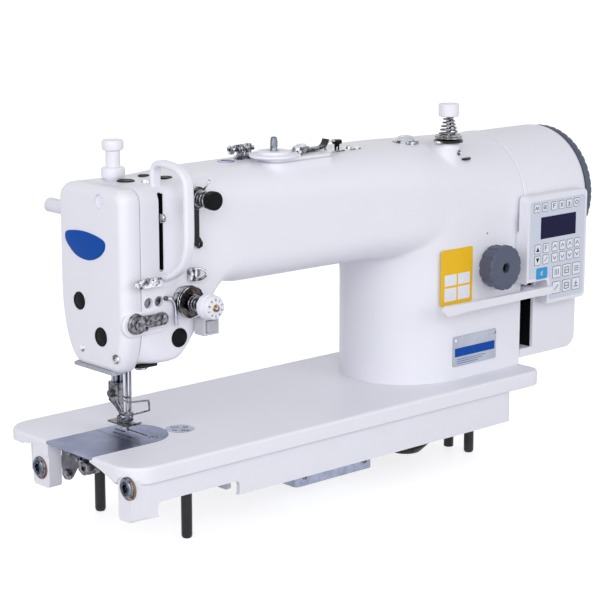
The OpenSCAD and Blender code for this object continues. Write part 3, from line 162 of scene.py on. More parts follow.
# The finishes: code is an sRGB hex value or the name of a colour property
FINISHES = {
    # White baked enamel over cast iron: wet gloss with a faint orange peel
    "white_enamel_baked": dict(code="enamel", rough=0.38, grain=4.0, depth=0.012, vary=0.012,
        Specular_IOR_Level=0.25, Coat_Weight=0.06, Coat_Roughness=0.12),
    # The bed's enamel: the same white with a finer and duller skin
    "bed_enamel_baked": dict(code="bed", rough=0.42, grain=1.6, depth=0.010, vary=0.02,
        Specular_IOR_Level=0.16),
    # White ABS, moulded in a spark-eroded tool: even, satin, very fine grain
    "white_abs_moulded": dict(code="plastic", rough=0.42, grain=0.6, depth=0.010, vary=0.008,
        Specular_IOR_Level=0.3),
    # Polished and chromium-plated steel: bright, with dark reflections painted on in patches
    "chrome_plated_steel": dict(code="#D9DAE0", rough=0.12, metal=1.0, grain=6.0, depth=0.004,
        film="#45464C", patch=5.0, soft=0.10),
    # Chromium-plated bars: bright, with dark reflections painted as streaks along the bar
    "chrome_plated_bar": dict(code="#C6C8D2", rough=0.16, metal=1.0, grain=6.0, depth=0.003, film="#2E3038",
        patch=2.3, soft=0.06, drag=(1, 1, 0.02)),
    # Tension discs: chromium plate painted dark and brownish, with darker reflections painted in patches;
    # bright only at the rims, which are painted highlights
    "oiled_disc_chrome": dict(code="#5A5452", rough=0.16, metal=1.0, grain=2.0, depth=0.006, film="#141110",
        patch=3.5, soft=0.14),
    # Nickel-plated wire and pins: pale satin without oil
    "nickel_plated_wire": dict(code="#C4C6D0", rough=0.24, metal=1.0, depth=0.004, vary=0.06,
        film="#8C8F9C", patch=6.0, soft=0.25),
    # Dark rolled sheet of the feed's bracket: mill scale under oil
    "dark_sheet_steel": dict(code="#6A6B72", rough=0.38, metal=0.9, depth=0.01, film="#3A3B42", patch=14.0,
        soft=0.2),
    # Black lacquered strip steel: smooth and truly black
    "black_lacquered_steel": dict(code="#0F1013", rough=0.30, depth=0.006, vary=0.15,
        Specular_IOR_Level=0.25),
    # Ground steel: satin, with fine grinding lines across the bar and oil in patches
    "ground_steel": dict(code="#AFB0B8", rough=0.28, metal=1.0, grain=0.8, depth=0.006, stretch=(1, 1, 6),
        film="#55565C", patch=8.0, soft=0.16),
    # Brushed plates of the bed: lines along the bed, slightly blue, duller where cloth runs
    "brushed_plate_steel": dict(code="#A0A4B8", rough=0.34, metal=1.0, Specular_Tint=(0.72, 0.74, 0.82, 1),
        grain=0.7, depth=0.008, stretch=(0.06, 1, 1), film="#6E748A", patch=60.0, soft=0.22),
    # Cast and blasted foot body: darker, duller steel
    "blasted_steel": dict(code="#8E8D94", rough=0.34, metal=1.0, grain=0.5, depth=0.02, film="#39383C",
        patch=4.0, soft=0.12),
    # Black oxide on steel: nearly black, oily sheen, rubbed grey on edges
    "black_oxide_steel": dict(code="#16171B", rough=0.40, metal=0.3, grain=0.9, depth=0.012, vary=0.20,
        rough_vary=0.10, wear="#6A6C72"),
    # Blued steel plugs: dark blue-grey with a bright sheen
    "blued_steel": dict(code="#565C6C", rough=0.30, metal=1.0, grain=0.8, depth=0.01, film="#1B1E28",
        patch=4.0, soft=0.12, wear="#A8ACB8"),
    # Zinc-plated sheet steel: cool, mottled satin
    "zinc_plated_sheet": dict(code="#A9B0C4", rough=0.36, metal=0.85, grain=2.2, depth=0.006,
        rough_vary=0.10, film="#8289A0", patch=12.0, soft=0.2),
    # Black moulded nylon plugs: soft sheen
    "black_nylon_moulded": dict(code="#0D0E11", rough=0.34, grain=0.5, depth=0.015, vary=0.12,
        Specular_IOR_Level=0.08),
    # Grey-blue ABS of the dial and handwheel: satin with rubbed ridges
    "slate_abs_moulded": dict(code="#50566A", rough=0.40, grain=0.6, depth=0.012, vary=0.06,
        Specular_IOR_Level=0.3),
    # Pale grey ABS of the switch housing and its key
    "pale_grey_abs_moulded": dict(code="#C6C7CE", rough=0.40, grain=0.6, depth=0.012),
    # Grey ABS of small fittings
    "grey_abs_moulded": dict(code="#B0B1BA", rough=0.40, grain=0.6, depth=0.012, vary=0.05),
    # Bronze bushings, bored and oily
    "sintered_bronze": dict(code="#9A7440", rough=0.35, metal=1.0, grain=0.4, depth=0.01, vary=0.10),
    # Brass insert of the tension knob
    "turned_brass": dict(code="#B98A45", rough=0.22, metal=1.0, grain=0.4, depth=0.006, vary=0.08),
    # Neoprene timing belt
    "moulded_neoprene": dict(code="#17171A", rough=0.62, grain=0.6, depth=0.02, vary=0.10),
    # Satin anodised aluminium nameplate
    "anodised_aluminium": dict(code="#B4B9C4", rough=0.36, metal=0.85, grain=0.4, depth=0.004,
        stretch=(0.1, 1, 1), film="#9AA0AE", patch=20.0, soft=0.3),
    # Blue stoved enamel of the plates: even and glossy
    "blue_stoved_enamel": dict(code="badge", rough=0.26, grain=3.0, depth=0.004, vary=0.04,
        Specular_IOR_Level=0.06),
    # Yellow vinyl film: flat print stock with a soft gloss
    "yellow_vinyl_film": dict(code="sticker", rough=0.38, grain=1.2, depth=0.003, vary=0.02,
        Specular_IOR_Level=0.2),
    # Polyester key film: pale blue-grey, matt
    "key_film_printed": dict(code="#CDD2E0", rough=0.46, grain=0.5, depth=0.004, vary=0.01),
    "key_face_printed": dict(code="#E3E6EF", rough=0.42, grain=0.5, depth=0.004, vary=0.01),
    "key_ink_grey": dict(code="#4E5365", rough=0.45, grain=0.5, vary=0.02, Specular_IOR_Level=0.2),
    "key_ink_black": dict(code="#1B1D26", rough=0.45, grain=0.5, vary=0.02, Specular_IOR_Level=0.2),
    "key_face_blue": dict(code="#2A97CF", rough=0.40, grain=0.5, depth=0.004, vary=0.02,
        Specular_IOR_Level=0.3),
    # Smoked window over the display: deep indigo, glossy
    "display_window_acrylic": dict(code="#1A1A3E", rough=0.14, grain=5.0, vary=0.10,
        Specular_IOR_Level=0.06),
    # Brown oxide rust on a bare machined seat: rough and matt
    "brown_oxide_rust": dict(code="#7C6350", rough=0.75, grain=0.8, depth=0.06, vary=0.35),
    # Grey closed-cell gasket under the head
    "grey_rubber_gasket": dict(code="#A9ABB4", rough=0.6, grain=0.5, depth=0.03, vary=0.08),
    # Spring wire, oil-tempered
    "spring_wire": dict(code="#9A9CA3", rough=0.22, metal=1.0, grain=0.5, depth=0.005, film="#3C3D42",
        patch=4.0, soft=0.12),
    # Varnished laminations and coated magnets inside the motor
    "stacked_laminations": dict(code="#5A5B60", rough=0.45, metal=0.8, grain=0.5, depth=0.05, vary=0.10,
        stretch=(8, 1, 1)),
    # Painted shade: near-black sheets laid in slots, recesses, bores and seams
    "shadowed_recess": dict(code="#0C0C0F", rough=0.7, vary=0.10, Specular_IOR_Level=0.1),
    # Black ABS of covers and lamp, moulded: dark satin
    "black_abs_moulded": dict(code="#101115", rough=0.36, grain=0.8, depth=0.01, vary=0.10,
        Specular_IOR_Level=0.2),
    # Clear acrylic of the oil window, slightly milky
    "clear_acrylic": dict(code="#E8ECF0", rough=0.06, grain=3.0, vary=0.02, Transmission_Weight=0.75,
        IOR=1.49),
}


def material(name):
    """A finish of this machine by name, made once."""
    if name not in MADE:
        row = dict(FINISHES[name])
        if not row["code"].startswith("#"):
            row["code"] = getattr(bpy.context.scene.machine_colours, row["code"])
        MADE[name] = finish_of(name, **row)
    return MADE[name]


# ---- Mesh makers --------------------------------------------------------------------------------

def soften(obj, width, angle, steps=2):
    """Rounds the edges that are sharper than an angle; width is in millimetres."""
    edges = obj.modifiers.new("edges", "BEVEL")
    edges.width = width * MM
    edges.segments = steps
    edges.limit_method = "ANGLE"
    edges.angle_limit = radians(angle)
    edges.harden_normals = True


def settle(obj, finish, body="frame", stands_for=None, slot=None, bevel=0.0, angle=38, steps=2):
    """Shades a piece, gives it its finish, rounds its edges and lets it ride on a body."""
    obj.data.materials.append(material(finish))
    obj.data.shade_smooth()
    obj.data.set_sharp_from_angle(angle=radians(angle))
    if bevel:
        soften(obj, bevel, angle, steps)
    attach(obj, body)
    if stands_for:
        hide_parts(*([stands_for] if isinstance(stands_for, str) else stands_for))


def from_mesh(name, bm):
    """Object from a bmesh drawn in millimetres from the bed's corner."""
    bmesh.ops.recalc_face_normals(bm, faces=bm.faces)
    for v in bm.verts:
        v.co = place(v.co)
    mesh = bpy.data.meshes.new(name)
    bm.to_mesh(mesh)
    bm.free()
    obj = bpy.data.objects.new(name, mesh)
    bpy.context.scene.collection.objects.link(obj)
    return obj


def piece(name, bm, finish, *ride, **look):
    """Settles a bmesh as one named piece."""
    settle(from_mesh(name, bm), finish, *ride, **look)


def skin(bm, rings, closed=False):
    """Joins a row of rings of equal count; rings of one point close to a tip."""
    rows = [[bm.verts.new(p) for p in ring] for ring in rings]
    pairs = list(zip(rows, rows[1:])) + ([(rows[-1], rows[0])] if closed else [])
    for a, b in pairs:
        n = max(len(a), len(b))
        for i in range(n):
            j = (i + 1) % n
            quad = [a[i % len(a)], a[j % len(a)], b[j % len(b)], b[i % len(b)]]
            corners = list(dict.fromkeys(quad))
            if len(corners) > 2:
                bm.faces.new(corners)
    if not closed:
        for row in (rows[0], rows[-1]):
            if len(row) > 2:
                bm.faces.new(row)
    return bm


def turn(axis, r, h, a):
    """Point at radius r, height h and angle a about an axis through the origin."""
    c, s = r * cos(a), r * sin(a)
    return {"x": (h, c, s), "y": (s, h, c), "z": (c, s, h)}[axis]


def lathe(bm, centre, axis, profile, steps, closed=False, lobes=None):
    """Revolves a profile of (radius, height) about an axis; lobes scales the radius with the angle."""
    rings = []
    for r, h in profile:
        count = 1 if r < 1e-6 else steps
        ring = []
        for i in range(count):
            a = 2 * pi * i / steps
            ring.append(Vector(centre) + Vector(turn(axis, r * (lobes(a, r) if lobes else 1), h, a)))
        rings.append(ring)
    return skin(bm, rings, closed=closed)


def flat(axis, u, v, h):
    """Point of a drawing plane: x drawings lie in y and z, y drawings in x and z, z drawings in x and y."""
    return {"x": (h, u, v), "y": (u, h, v), "z": (u, v, h)}[axis]


def prism(bm, axis, outline, low, high):
    """Extrudes an outline along an axis."""
    return skin(bm, [[flat(axis, u, v, h) for u, v in outline] for h in (low, high)])


def oval_corners(low, high, reach, steps=14):
    """Closed outline of a box whose corners are quarter ellipses, from high-high round."""
    marks = ((high[0], high[1], 0, -1, -1), (low[0], high[1], 90, 1, -1), (low[0], low[1], 180, 1, 1),
        (high[0], low[1], 270, -1, 1))
    out = []
    for (x, y, start, sx, sy), (a, b) in zip(marks, reach):
        for i in range(steps + 1):
            t = radians(start + 90 * i / steps)
            out.append((x + sx * a + a * cos(t), y + sy * b + b * sin(t)))
    return out


def rounded(low, high, r, steps=6):
    """Outline of a box with rounded corners; r is one radius or four, from high-high round."""
    radii = [r] * 4 if isinstance(r, (int, float)) else r
    return oval_corners(low, high, [(q, q) for q in radii], steps)


def box_at(bm, low, high, axis="z", r=0.6, steps=3):
    """Block between two corners with the edges along one axis rounded."""
    k = "xyz".index(axis)
    i, j = [n for n in range(3) if n != k]
    r = min(r, (high[i] - low[i]) / 2.05, (high[j] - low[j]) / 2.05)
    return prism(bm, axis, rounded((low[i], low[j]), (high[i], high[j]), r, steps), low[k], high[k])


def smooth_path(points, per, closed=False):
    """Catmull-Rom curve through points."""
    pts = [Vector(p) for p in points]
    n = len(pts)
    out = []
    for k in range(n if closed else n - 1):
        p = [pts[(k + d) % n] if closed else pts[min(max(k + d, 0), n - 1)] for d in (-1, 0, 1, 2)]
        for s in range(per):
            t = s / per
            out.append(0.5 * (2 * p[1] + (p[2] - p[0]) * t + (2 * p[0] - 5 * p[1] + 4 * p[2] - p[3]) * t * t
                + (3 * p[1] - p[0] - 3 * p[2] + p[3]) * t * t * t))
    return out if closed else out + [pts[-1]]


def sweep(bm, path, section, up=(1, 0, 0)):
    """Carries a section of (across, along up) points down a path, held square to it."""
    up = Vector(up)
    rings = []
    for k, p in enumerate(path):
        ahead = (path[min(k + 1, len(path) - 1)] - path[max(k - 1, 0)]).normalized()
        side = ahead.cross(up).normalized()
        lift = side.cross(ahead).normalized()
        rings.append([p + side * a + lift * b for a, b in section])
    return skin(bm, rings)


def circle(r, steps):
    """Points round a circle."""
    return [(r * cos(2 * pi * i / steps), r * sin(2 * pi * i / steps)) for i in range(steps)]


# A direction that no wire runs along, and the steps in one turn of a coil
WIRE_UP, COIL_STEPS = (0.31, 0.17, 0.93), 20


def wire(bm, points, r, per=6, steps=10):
    """Round wire through points."""
    return sweep(bm, smooth_path(points, per), circle(r, steps), WIRE_UP)


def coil(bm, centre, axis, r, low, high, turns, wire_r, r2=None, start=0.0):
    """Round wire wound about an axis, from radius r to r2."""
    count = int(turns * COIL_STEPS)
    path = []
    for i in range(count + 1):
        t = i / count
        radius = r + ((r2 if r2 is not None else r) - r) * t
        path.append(Vector(centre)
            + Vector(turn(axis, radius, low + (high - low) * t, start + 2 * pi * turns * t)))
    up = Vector(turn(axis, 0, 1, 0))
    return sweep(bm, path, circle(wire_r, 8), up)


def screw_head(bm, centre, axis, sign, r, height, hexagon=0.0):
    """Domed screw head standing out of a face, with a hexagon socket if its size is given."""
    profile = [(0, 0), (r, 0), (r, height * 0.55), (r * 0.92, height * 0.85), (r * 0.72, height)]
    if hexagon:
        profile += [(hexagon, height), (hexagon * 0.98, height * 0.3), (0, height * 0.3)]
    else:
        profile.append((0, height))
    return lathe(bm, centre, axis, [(q, h * sign) for q, h in profile], steps=24)


def new():
    """An empty bmesh."""
    return bmesh.new()


def polish_node(node, finish, bevel):
    """Gives a CAD node that keeps its shape its finish and softly broken edges."""
    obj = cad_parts[node]
    obj.data.materials.clear()
    obj.data.materials.append(material(finish))
    weld = obj.modifiers.new("weld", "WELD")
    weld.merge_threshold = 0.002 * MM
    if bevel:
        merge = obj.modifiers.new("facets", "DECIMATE")
        merge.decimate_type = "DISSOLVE"
        merge.angle_limit = radians(1)
        soften(obj, bevel, 40)


# ---- Sizes a user would change ------------------------------------------------------------------

class MachineSizes(bpy.types.PropertyGroup):
    """Sizes of the finishing detail of the machine."""
    casting_voxel: FloatProperty(name="Casting voxel", description="Grain of the remeshed arm casting",
        default=2.0 * MM, min=1.5 * MM, max=4 * MM, unit="LENGTH")
    casting_rounds: IntProperty(name="Casting smoothing",
        description="Passes that round the casting's fillets", default=14, min=4, max=30)
    bed_edge_radius: FloatProperty(name="Bed edge radius", description="Radius along the rim of the bed",
        default=2.6 * MM, min=1 * MM, max=4 * MM, unit="LENGTH")
    dial_lobes: IntProperty(name="Dial lobes", description="Finger scallops round the stitch dial",
        default=12, min=8, max=20)
    spring_turns: FloatProperty(name="Presser spring turns",
        description="Turns of the presser bar's spring", default=11.0, min=6, max=20)
    numeral_height: FloatProperty(name="Numeral height",
        description="Height of the numbers on the knob's face", default=3.1 * MM, min=1.5 * MM, max=4 * MM,
        unit="LENGTH")
    wire_radius: FloatProperty(name="Guard wire radius", description="Radius of the finger guard's wire",
        default=0.75 * MM, min=0.5 * MM, max=1.5 * MM, unit="LENGTH")


def paint(label, about, code):
    """A colour property with an sRGB hex default."""
    return FloatVectorProperty(name=label, description=about, subtype="COLOR", size=3, min=0, max=1,
        default=tuple(colour(code)[:3]))


class MachineColours(bpy.types.PropertyGroup):
    """Colours of the machine's painted and moulded pieces."""
    enamel: paint("Arm enamel", "Baked enamel of the arm and head", "#E7E7EF")
    bed: paint("Bed enamel", "Baked enamel of the bed", "#EAEAF2")
    plastic: paint("White plastic", "Moulded covers, knob and post cap", "#E7E7EF")
    badge: paint("Badge blue", "Enamel of the blank badge", "#0F4AA2")
    sticker: paint("Sticker yellow", "Film of the blank sticker", "#EDBC22")


def sizes():
    """The machine's detail sizes."""
    return bpy.context.scene.machine_sizes


# ---- Solid work ---------------------------------------------------------------------------------

def bake(obj):
    """Applies a piece's modifiers."""
    bpy.context.view_layer.update()
    graph = bpy.context.evaluated_depsgraph_get()
    mesh = bpy.data.meshes.new_from_object(obj.evaluated_get(graph))
    mesh.materials.clear()
    obj.modifiers.clear()
    obj.data = mesh


def combine(obj, cuts=(), adds=()):
    """Joins solids to a piece and then cuts others out of it; each is a bmesh in millimetres."""
    tools = []
    for kind, meshes in (("UNION", adds), ("DIFFERENCE", cuts)):
        for bm in meshes:
            tool = from_mesh("tool", bm)
            step = obj.modifiers.new(kind.lower(), "BOOLEAN")
            step.operation = kind
            step.solver = "MANIFOLD"
            step.object = tool
            tools.append(tool)
    bake(obj)
    for tool in tools:
        bpy.data.objects.remove(tool)


def block(low, high, axis="z", r=0.0):
    """A new bmesh of one block."""
    return box_at(new(), low, high, axis, max(r, 0.01), 1 if r == 0 else 5)


def rod(axis, r, low, high, centre, steps=40):
    """A new bmesh of one bar along an axis; centre holds the two other coordinates."""
    return lathe(new(), flat(axis, *centre, 0), axis, [(0, low), (r, low), (r, high), (0, high)],
        steps=steps)


# ---- Arm casting --------------------------------------------------------------------------------

ARM, HEAD, MOTOR, BOX = spot("arm_casting"), spot("face_cover"), spot("motor_cover"), spot("control_box")
AXLE = (middle("main_shaft").y, middle("main_shaft").z)
MOTOR_R = (MOTOR[1].z - MOTOR[0].z) / 2 - 1.2
SEAM, ARM_END = ARM[0].x, MOTOR[0].x - 0.5
FRONT, REAR, TOP = HEAD[0].y, HEAD[1].y, HEAD[1].z
HEAD_LOW = HEAD[0].z + 5
ARM_TOP, ARM_LOW, COLUMN, ARM_WALL = 214.0, 118.0, 321.0, 6.0
COLUMN_FRONT, COLUMN_REAR = BOX[0].y, BOX[1].y
FILLET, FILLET_H, NOSE = 10.0, 30.0, 6.0
NEEDLE, PRESSER = middle("needle"), middle("presser_bar")
POST, WINDER, OIL = middle("post_tension_cap"), middle("winder_spindle"), middle("oil_window")
KNOB, EARLY, DIAL = middle("tension_knob"), middle("pre_tension_nut"), middle("stitch_dial")
LIFTER = middle("hand_lifter")
# Two open holes in the head's front
HOLE_X, HOLE_Z = (NEEDLE.x - 10.8, NEEDLE.x - 0.4), 117.5

# Outline of the blank badge, across and up the cover
BADGE = ((115, 169.5), (93, 171.5), (70, 168), (66, 162), (73, 154), (87, 149), (103, 150.5), (115, 158),
    (119, 164.5))
# The cover's sunk screw, across and up
SUNK = (73, 197.5)
# Corner reaches of the head, whose front runs back below at the seam
HEAD_REACH = ((13, 12), (11, 10), (16, 44), (26, 62))
# Place, low corner, high corner and corner reaches of the arm's sections
ARM_KEYS = [(SEAM, (FRONT, HEAD_LOW), (REAR, TOP), HEAD_REACH),
    (SEAM + 14, (FRONT, HEAD_LOW), (REAR, TOP), ((13, 12), (11, 10), (5, 5), (26, 60))),
    (SEAM + 40, (FRONT, HEAD_LOW), (REAR, TOP), ((16, 14), (14, 12), (5, 5), (26, 60))),
    (129, (FRONT - 2, ARM_LOW + 7), (REAR + 1, ARM_TOP - 1), ((26, 22), (24, 20), (10, 10), (22, 24))),
    (149, (FRONT - 4, ARM_LOW), (REAR + 2, ARM_TOP), ((32, 28), (30, 26), (26, 24), (24, 24))),
    (COLUMN - 24, (33, ARM_LOW), (143, ARM_TOP), ((38, 34), (36, 32), (30, 26), (28, 26))),
    (COLUMN + 31, (29.5, ARM_LOW - 6), (146.5, ARM_TOP), ((42, 38), (42, 38), (36, 30), (36, 30))),
    (ARM_END, (AXLE[0] - MOTOR_R, AXLE[1] - MOTOR_R), (AXLE[0] + MOTOR_R, AXLE[1] + MOTOR_R),
    ((MOTOR_R - 0.2, MOTOR_R - 0.2),) * 4)]


# Half the stretch over which a bend of the arm is eased, and the spacing of its sections
BEND, STEP = 7.0, 4.0


def arm_outline(x, wall=0.0):
    """Section of the arm, with the bends between its straight stretches eased over a short length."""
    total, count = None, 9
    for k in range(count):
        here = min(max(x + BEND * (2 * k / (count - 1) - 1), ARM_KEYS[0][0]), ARM_KEYS[-1][0] - 0.01)
        i = max(n for n in range(len(ARM_KEYS) - 1) if ARM_KEYS[n][0] <= here)
        a, b = ARM_KEYS[i], ARM_KEYS[i + 1]
        t = (here - a[0]) / (b[0] - a[0])

        def mixed(p, q, add=0.0):
            return [u * (1 - t) + v * t + add for u, v in zip(p, q)]
        reach = [[max(r - wall, 1.5) for r in mixed(p, q)] for p, q in zip(a[3], b[3])]
        ring = oval_corners(mixed(a[1], b[1], wall), mixed(a[2], b[2], -wall), reach)
        total = ring if total is None else [(p[0] + q[0], p[1] + q[1]) for p, q in zip(total, ring)]
    return [(y / count, z / count) for y, z in total]


def roof(x, y):
    """Height of the arm's upper surface."""
    ring = arm_outline(x)
    best = 0.0
    for (y0, z0), (y1, z1) in zip(ring, ring[1:] + ring[:1]):
        if (y0 - y) * (y1 - y) <= 0 and abs(y1 - y0) > 1e-6:
            best = max(best, z0 + (z1 - z0) * (y - y0) / (y1 - y0))
    return best


def column_outline(z, wall):
    """Section of the column, with the fillet that runs into the arm's underside."""
    rise = min(max(z - (ARM_LOW - FILLET_H), 0) / FILLET_H, 1)
    grown = FILLET * (1 - sqrt(max(1 - rise * rise, 0)))
    nose = (COLUMN_REAR - COLUMN_FRONT) / 2 - 0.5
    ends = ((2, 2), (nose + NOSE + grown - wall, nose - wall), (nose + NOSE + grown - wall, nose - wall),
        (2, 2))
    extra = 12 - 2 * wall
    return oval_corners((COLUMN - grown + wall, COLUMN_FRONT + wall), (ARM_END + extra, COLUMN_REAR - wall),
        ends)


def arm_loft(low, high, wall=0.0):
    """Loft of the arm's sections between two places, with its ends drawn straight on."""
    count = max(2, round((high - low) / STEP))
    stations = [low + (high - low) * i / count for i in range(count + 1)]
    return skin(new(), [[(x, y, z) for y, z in arm_outline(x, wall)] for x in stations])


def column_loft(low, wall=0.0):
    """Loft of the column from a height up to the shaft."""
    rise = [ARM_LOW - FILLET_H + FILLET_H * sin(radians(a)) for a in range(8, 90, 6)]
    heights = [low, 40, ARM_LOW - FILLET_H] + rise + [ARM_LOW, AXLE[1]]
    return skin(new(), [[(x, y, z) for x, y in column_outline(z, wall)] for z in heights])


class ArmCasting(bpy.types.Operator):
    """Casts the head, arm and column as one smooth shell, with its pads, slot and sockets"""
    bl_idname = "machine.arm_casting"
    bl_label = "Arm casting"

    def execute(self, context):
        look = sizes()
        shell = from_mesh("arm_shell", arm_loft(SEAM - 14, ARM_END + 12))
        pads = [column_loft(-6), rod("z", 11, 190, ARM_TOP, (POST.x, POST.y)),
            rod("y", 13, 60, FRONT - 1.6, (KNOB.x, KNOB.z)),
            rod("y", 10, 60, FRONT - 2.6, (EARLY.x, EARLY.z)),
            rod("y", 14.5, 50, COLUMN_FRONT - 3, (DIAL.x, DIAL.z)),
            block((WINDER.x - 12, WINDER.y - 14, 190), (WINDER.x + 60, WINDER.y + 16, ARM_TOP + 0.4), r=10),
            block((NEEDLE.x, FRONT + 5.5, TOP - 12), (NEEDLE.x + 11, FRONT + 13.5, TOP + 0.2), r=3)]
        combine(shell, adds=pads)
        grain = shell.modifiers.new("cast", "REMESH")
        grain.mode = "VOXEL"
        grain.voxel_size = look.casting_voxel
        ease = shell.modifiers.new("fillets", "SMOOTH")
        ease.iterations = look.casting_rounds
        ease.factor = 0.5
        bake(shell)
        slot = prism(new(), "y", rounded((NEEDLE.x + 0.6, 141), (NEEDLE.x + 4.9, TOP - 4), 2.1), FRONT - 6,
            FRONT + 16)
        combine(shell,
            cuts=[block((SEAM - 40, -10, -20), (SEAM, 200, 260)),
            block((ARM_END, -10, -20), (ARM_END + 40, 200, 260)),
            block((SEAM - 50, -10, -20), (ARM_END + 50, 200, 0.02)), arm_loft(SEAM - 1, 96, ARM_WALL),
            arm_loft(112, ARM_END - 12, ARM_WALL), column_loft(-4, ARM_WALL), slot,
            rod("x", 11.6, 90, ARM_END + 2, AXLE),
            rod("z", 6.2, HEAD_LOW - 5, HEAD_LOW + 21, (NEEDLE.x, AXLE[0])),
            rod("z", 4.8, 190, 205.8, (NEEDLE.x, AXLE[0])),
            rod("z", 7.2, HEAD_LOW - 5, HEAD_LOW + 21, (PRESSER.x, PRESSER.y)),
            rod("z", 7.8, TOP - 8, TOP + 8, (PRESSER.x, PRESSER.y)),
            rod("y", 4.3, REAR - 12, REAR + 6, (LIFTER.x, LIFTER.z)),
            *[rod("y", 4.3, FRONT - 8, FRONT + 4, (x, HOLE_Z)) for x in HOLE_X],
            rod("z", 5.4, ARM_TOP - 12, ARM_TOP + 4, (WINDER.x, WINDER.y))])
        settle(shell, "white_enamel_baked", stands_for="arm_casting", slot="white_enamel", angle=42)
        return {"FINISHED"}


class FaceCover(bpy.types.Operator):
    """Closes the head's left end with the moulded cover and the blank badge"""
    bl_idname = "machine.face_cover"
    bl_label = "Face cover"

    def execute(self, context):
        x0, low, high = HEAD[0].x, (FRONT, HEAD[0].z), (REAR, TOP)

        def ring(x, inset):
            cut = [(max(a - inset * 0.6, 1.5), max(b - inset * 0.6, 1.5)) for a, b in HEAD_REACH]
            return [(x, y, z) for y, z in oval_corners([c + inset for c in low], [c - inset for c in high],
                cut)]
        rings = [ring(x0 + 9 * (1 - cos(radians(a))), 6.5 * (1 - sin(radians(a)))) for a in range(0, 91, 9)]
        cover = from_mesh("cover_shell",
            skin(new(), rings + [ring(HEAD[1].x - 1.0, 0), ring(HEAD[1].x, 0.5)]))
        inner = skin(new(), [ring(x0 + 3.5, 9), ring(x0 + 9, 4), ring(SEAM + 1, 3.5)])
        recess = lathe(new(), (0, *SUNK), "x", [(0, x0 + 2.4), (6.0, x0 + 2.4), (6.0, x0 - 2), (0, x0 - 2)],
            steps=32)
        combine(cover, cuts=[inner])
        combine(cover, cuts=[recess])
        settle(cover, "white_abs_moulded", stands_for="face_cover", slot="white_plastic", angle=34)
        # Dark sheet set in the seam: painted shade in the gap between cover and arm
        piece("cover_gasket", skin(new(), [ring(SEAM - 1.6, 1.2), ring(SEAM + 0.2, 1.2)]),
            "shadowed_recess")
        badge = new()
        outline = [(v.x, v.y) for v in smooth_path([(c[0], c[1], 0) for c in BADGE], 7, closed=True)]
        yc = sum(y for y, z in outline) / len(outline)
        zc = sum(z for y, z in outline) / len(outline)

        def shrunk(k, x):
            return [(x, yc + (y - yc) * k, zc + (z - zc) * k) for y, z in outline]
        skin(badge, [shrunk(1.0, x0 + 0.2), shrunk(1.0, x0 - 0.5), shrunk(0.985, x0 - 0.9),
            shrunk(0.9, x0 - 1.15)])
        piece("badge_blank", badge, "blue_stoved_enamel", angle=50)
        return {"FINISHED"}


class Plugs(bpy.types.Operator):
    """Presses the dark plugs into their sockets and drives the cover's screws"""
    bl_idname = "machine.plugs"
    bl_label = "Plugs and cover screws"

    def execute(self, context):
        x0 = HEAD[0].x
        bm = new()

        def cap(centre, axis, sign, r):
            profile = [(0, -2.0), (r, -2.0), (r, 0.3), (r - 0.5, 0.9), (r - 1.6, 1.0), (r - 2.2, 0.5),
                (r * 0.4, 0.8), (0, 0.9)]
            lathe(bm, centre, axis, [(q, h * sign) for q, h in profile], steps=36)
        for y, z, r in ((102, 114, 7.4), (74, 89, 7.8)):
            cap((x0, y, z), "x", -1, r)
        cap((NEEDLE.x + 19.5, FRONT, HEAD_LOW + 19), "y", -1, 7.9)
        for x, y, r in ((66, AXLE[0], 7.4), (NEEDLE.x + 28, AXLE[0] + 9.5, 4.9),
                (NEEDLE.x + 32.5, AXLE[0] - 13, 5.8)):
            cap((x, y, roof(x, y)), "z", 1, r)
        piece("plug_caps", bm, "black_nylon_moulded", stands_for="plugs", slot="black_plastic", angle=40)
        # Plugs at the ends of the feed shafts, with hexagon sockets and a rusty seat
        ends, seats = new(), new()
        washers = new()
        for at, y, z in ((1.9, 8.7, -15), (0, 124, -24)):
            rim = [(7.0, 1.8), (7.0, -1.6), (6.2, -2.4), (4.6, -2.4)]
            rings = [[Vector((at, y, z)) + Vector(turn("x", r, h, 2 * pi * i / 36)) for i in range(36)]
                for r, h in rim]
            socket = [[Vector((at, y, z))
                + Vector(turn("x", 3.6 / max(abs(cos((a % (pi / 3)) - pi / 6)), 0.8) * 0.9, h, a))
                for a in [2 * pi * i / 36 for i in range(36)]] for h in (-2.4, 0.6)]
            skin(ends, rings + socket)
            lathe(washers, (at, y, z), "x", [(6.8, 1.5), (8.7, 1.5), (8.7, -0.7), (8.2, -1.1), (6.8, -1.1)],
                steps=40, closed=True)
            lathe(seats, (at, y - 0.5, z - 0.7), "x", [(8.4, 1.5), (9.3, 1.5), (9.2, -0.1), (8.4, -0.25)],
                steps=36, closed=True)
        piece("end_plugs", ends, "blued_steel", angle=40)
        piece("end_plug_washers", washers, "blasted_steel", angle=40)
        piece("end_plug_seats", seats, "brown_oxide_rust", angle=40)
        disc = new()
        lathe(disc, (*DISC, 0), "z", [(0, -2.4), (12, -2.4), (12, -0.1), (11.6, 0.15), (0, 0.2)], steps=48)
        piece("bed_disc", disc, "zinc_plated_sheet", angle=30)
        marks = new()
        for k, (u, v) in enumerate(DISC_MARKS):
            box_at(marks, (u - 0.75, v - 0.9 - 0.3 * (k % 2), 0.1), (u + 0.65, v + 1.1, 0.34), r=0.3)
        piece("bed_disc_marks", marks, "key_ink_black", angle=30)
        screws = new()
        screw_head(screws, (x0, 54.5, 74.5), "x", -1, 3.7, 1.9, hexagon=1.5)
        screw_head(screws, (x0, 99.5, 75.5), "x", -1, 3.0, 0.9, hexagon=1.2)
        piece("cover_screw_heads", screws, "chrome_plated_steel", stands_for="cover_screws",
            slot="zinc_steel", angle=35)
        piece("sunk_cover_screw", screw_head(new(), (x0 + 2.5, *SUNK), "x", -1, 2.6, 0.7),
            "white_enamel_baked", angle=35)
        return {"FINISHED"}


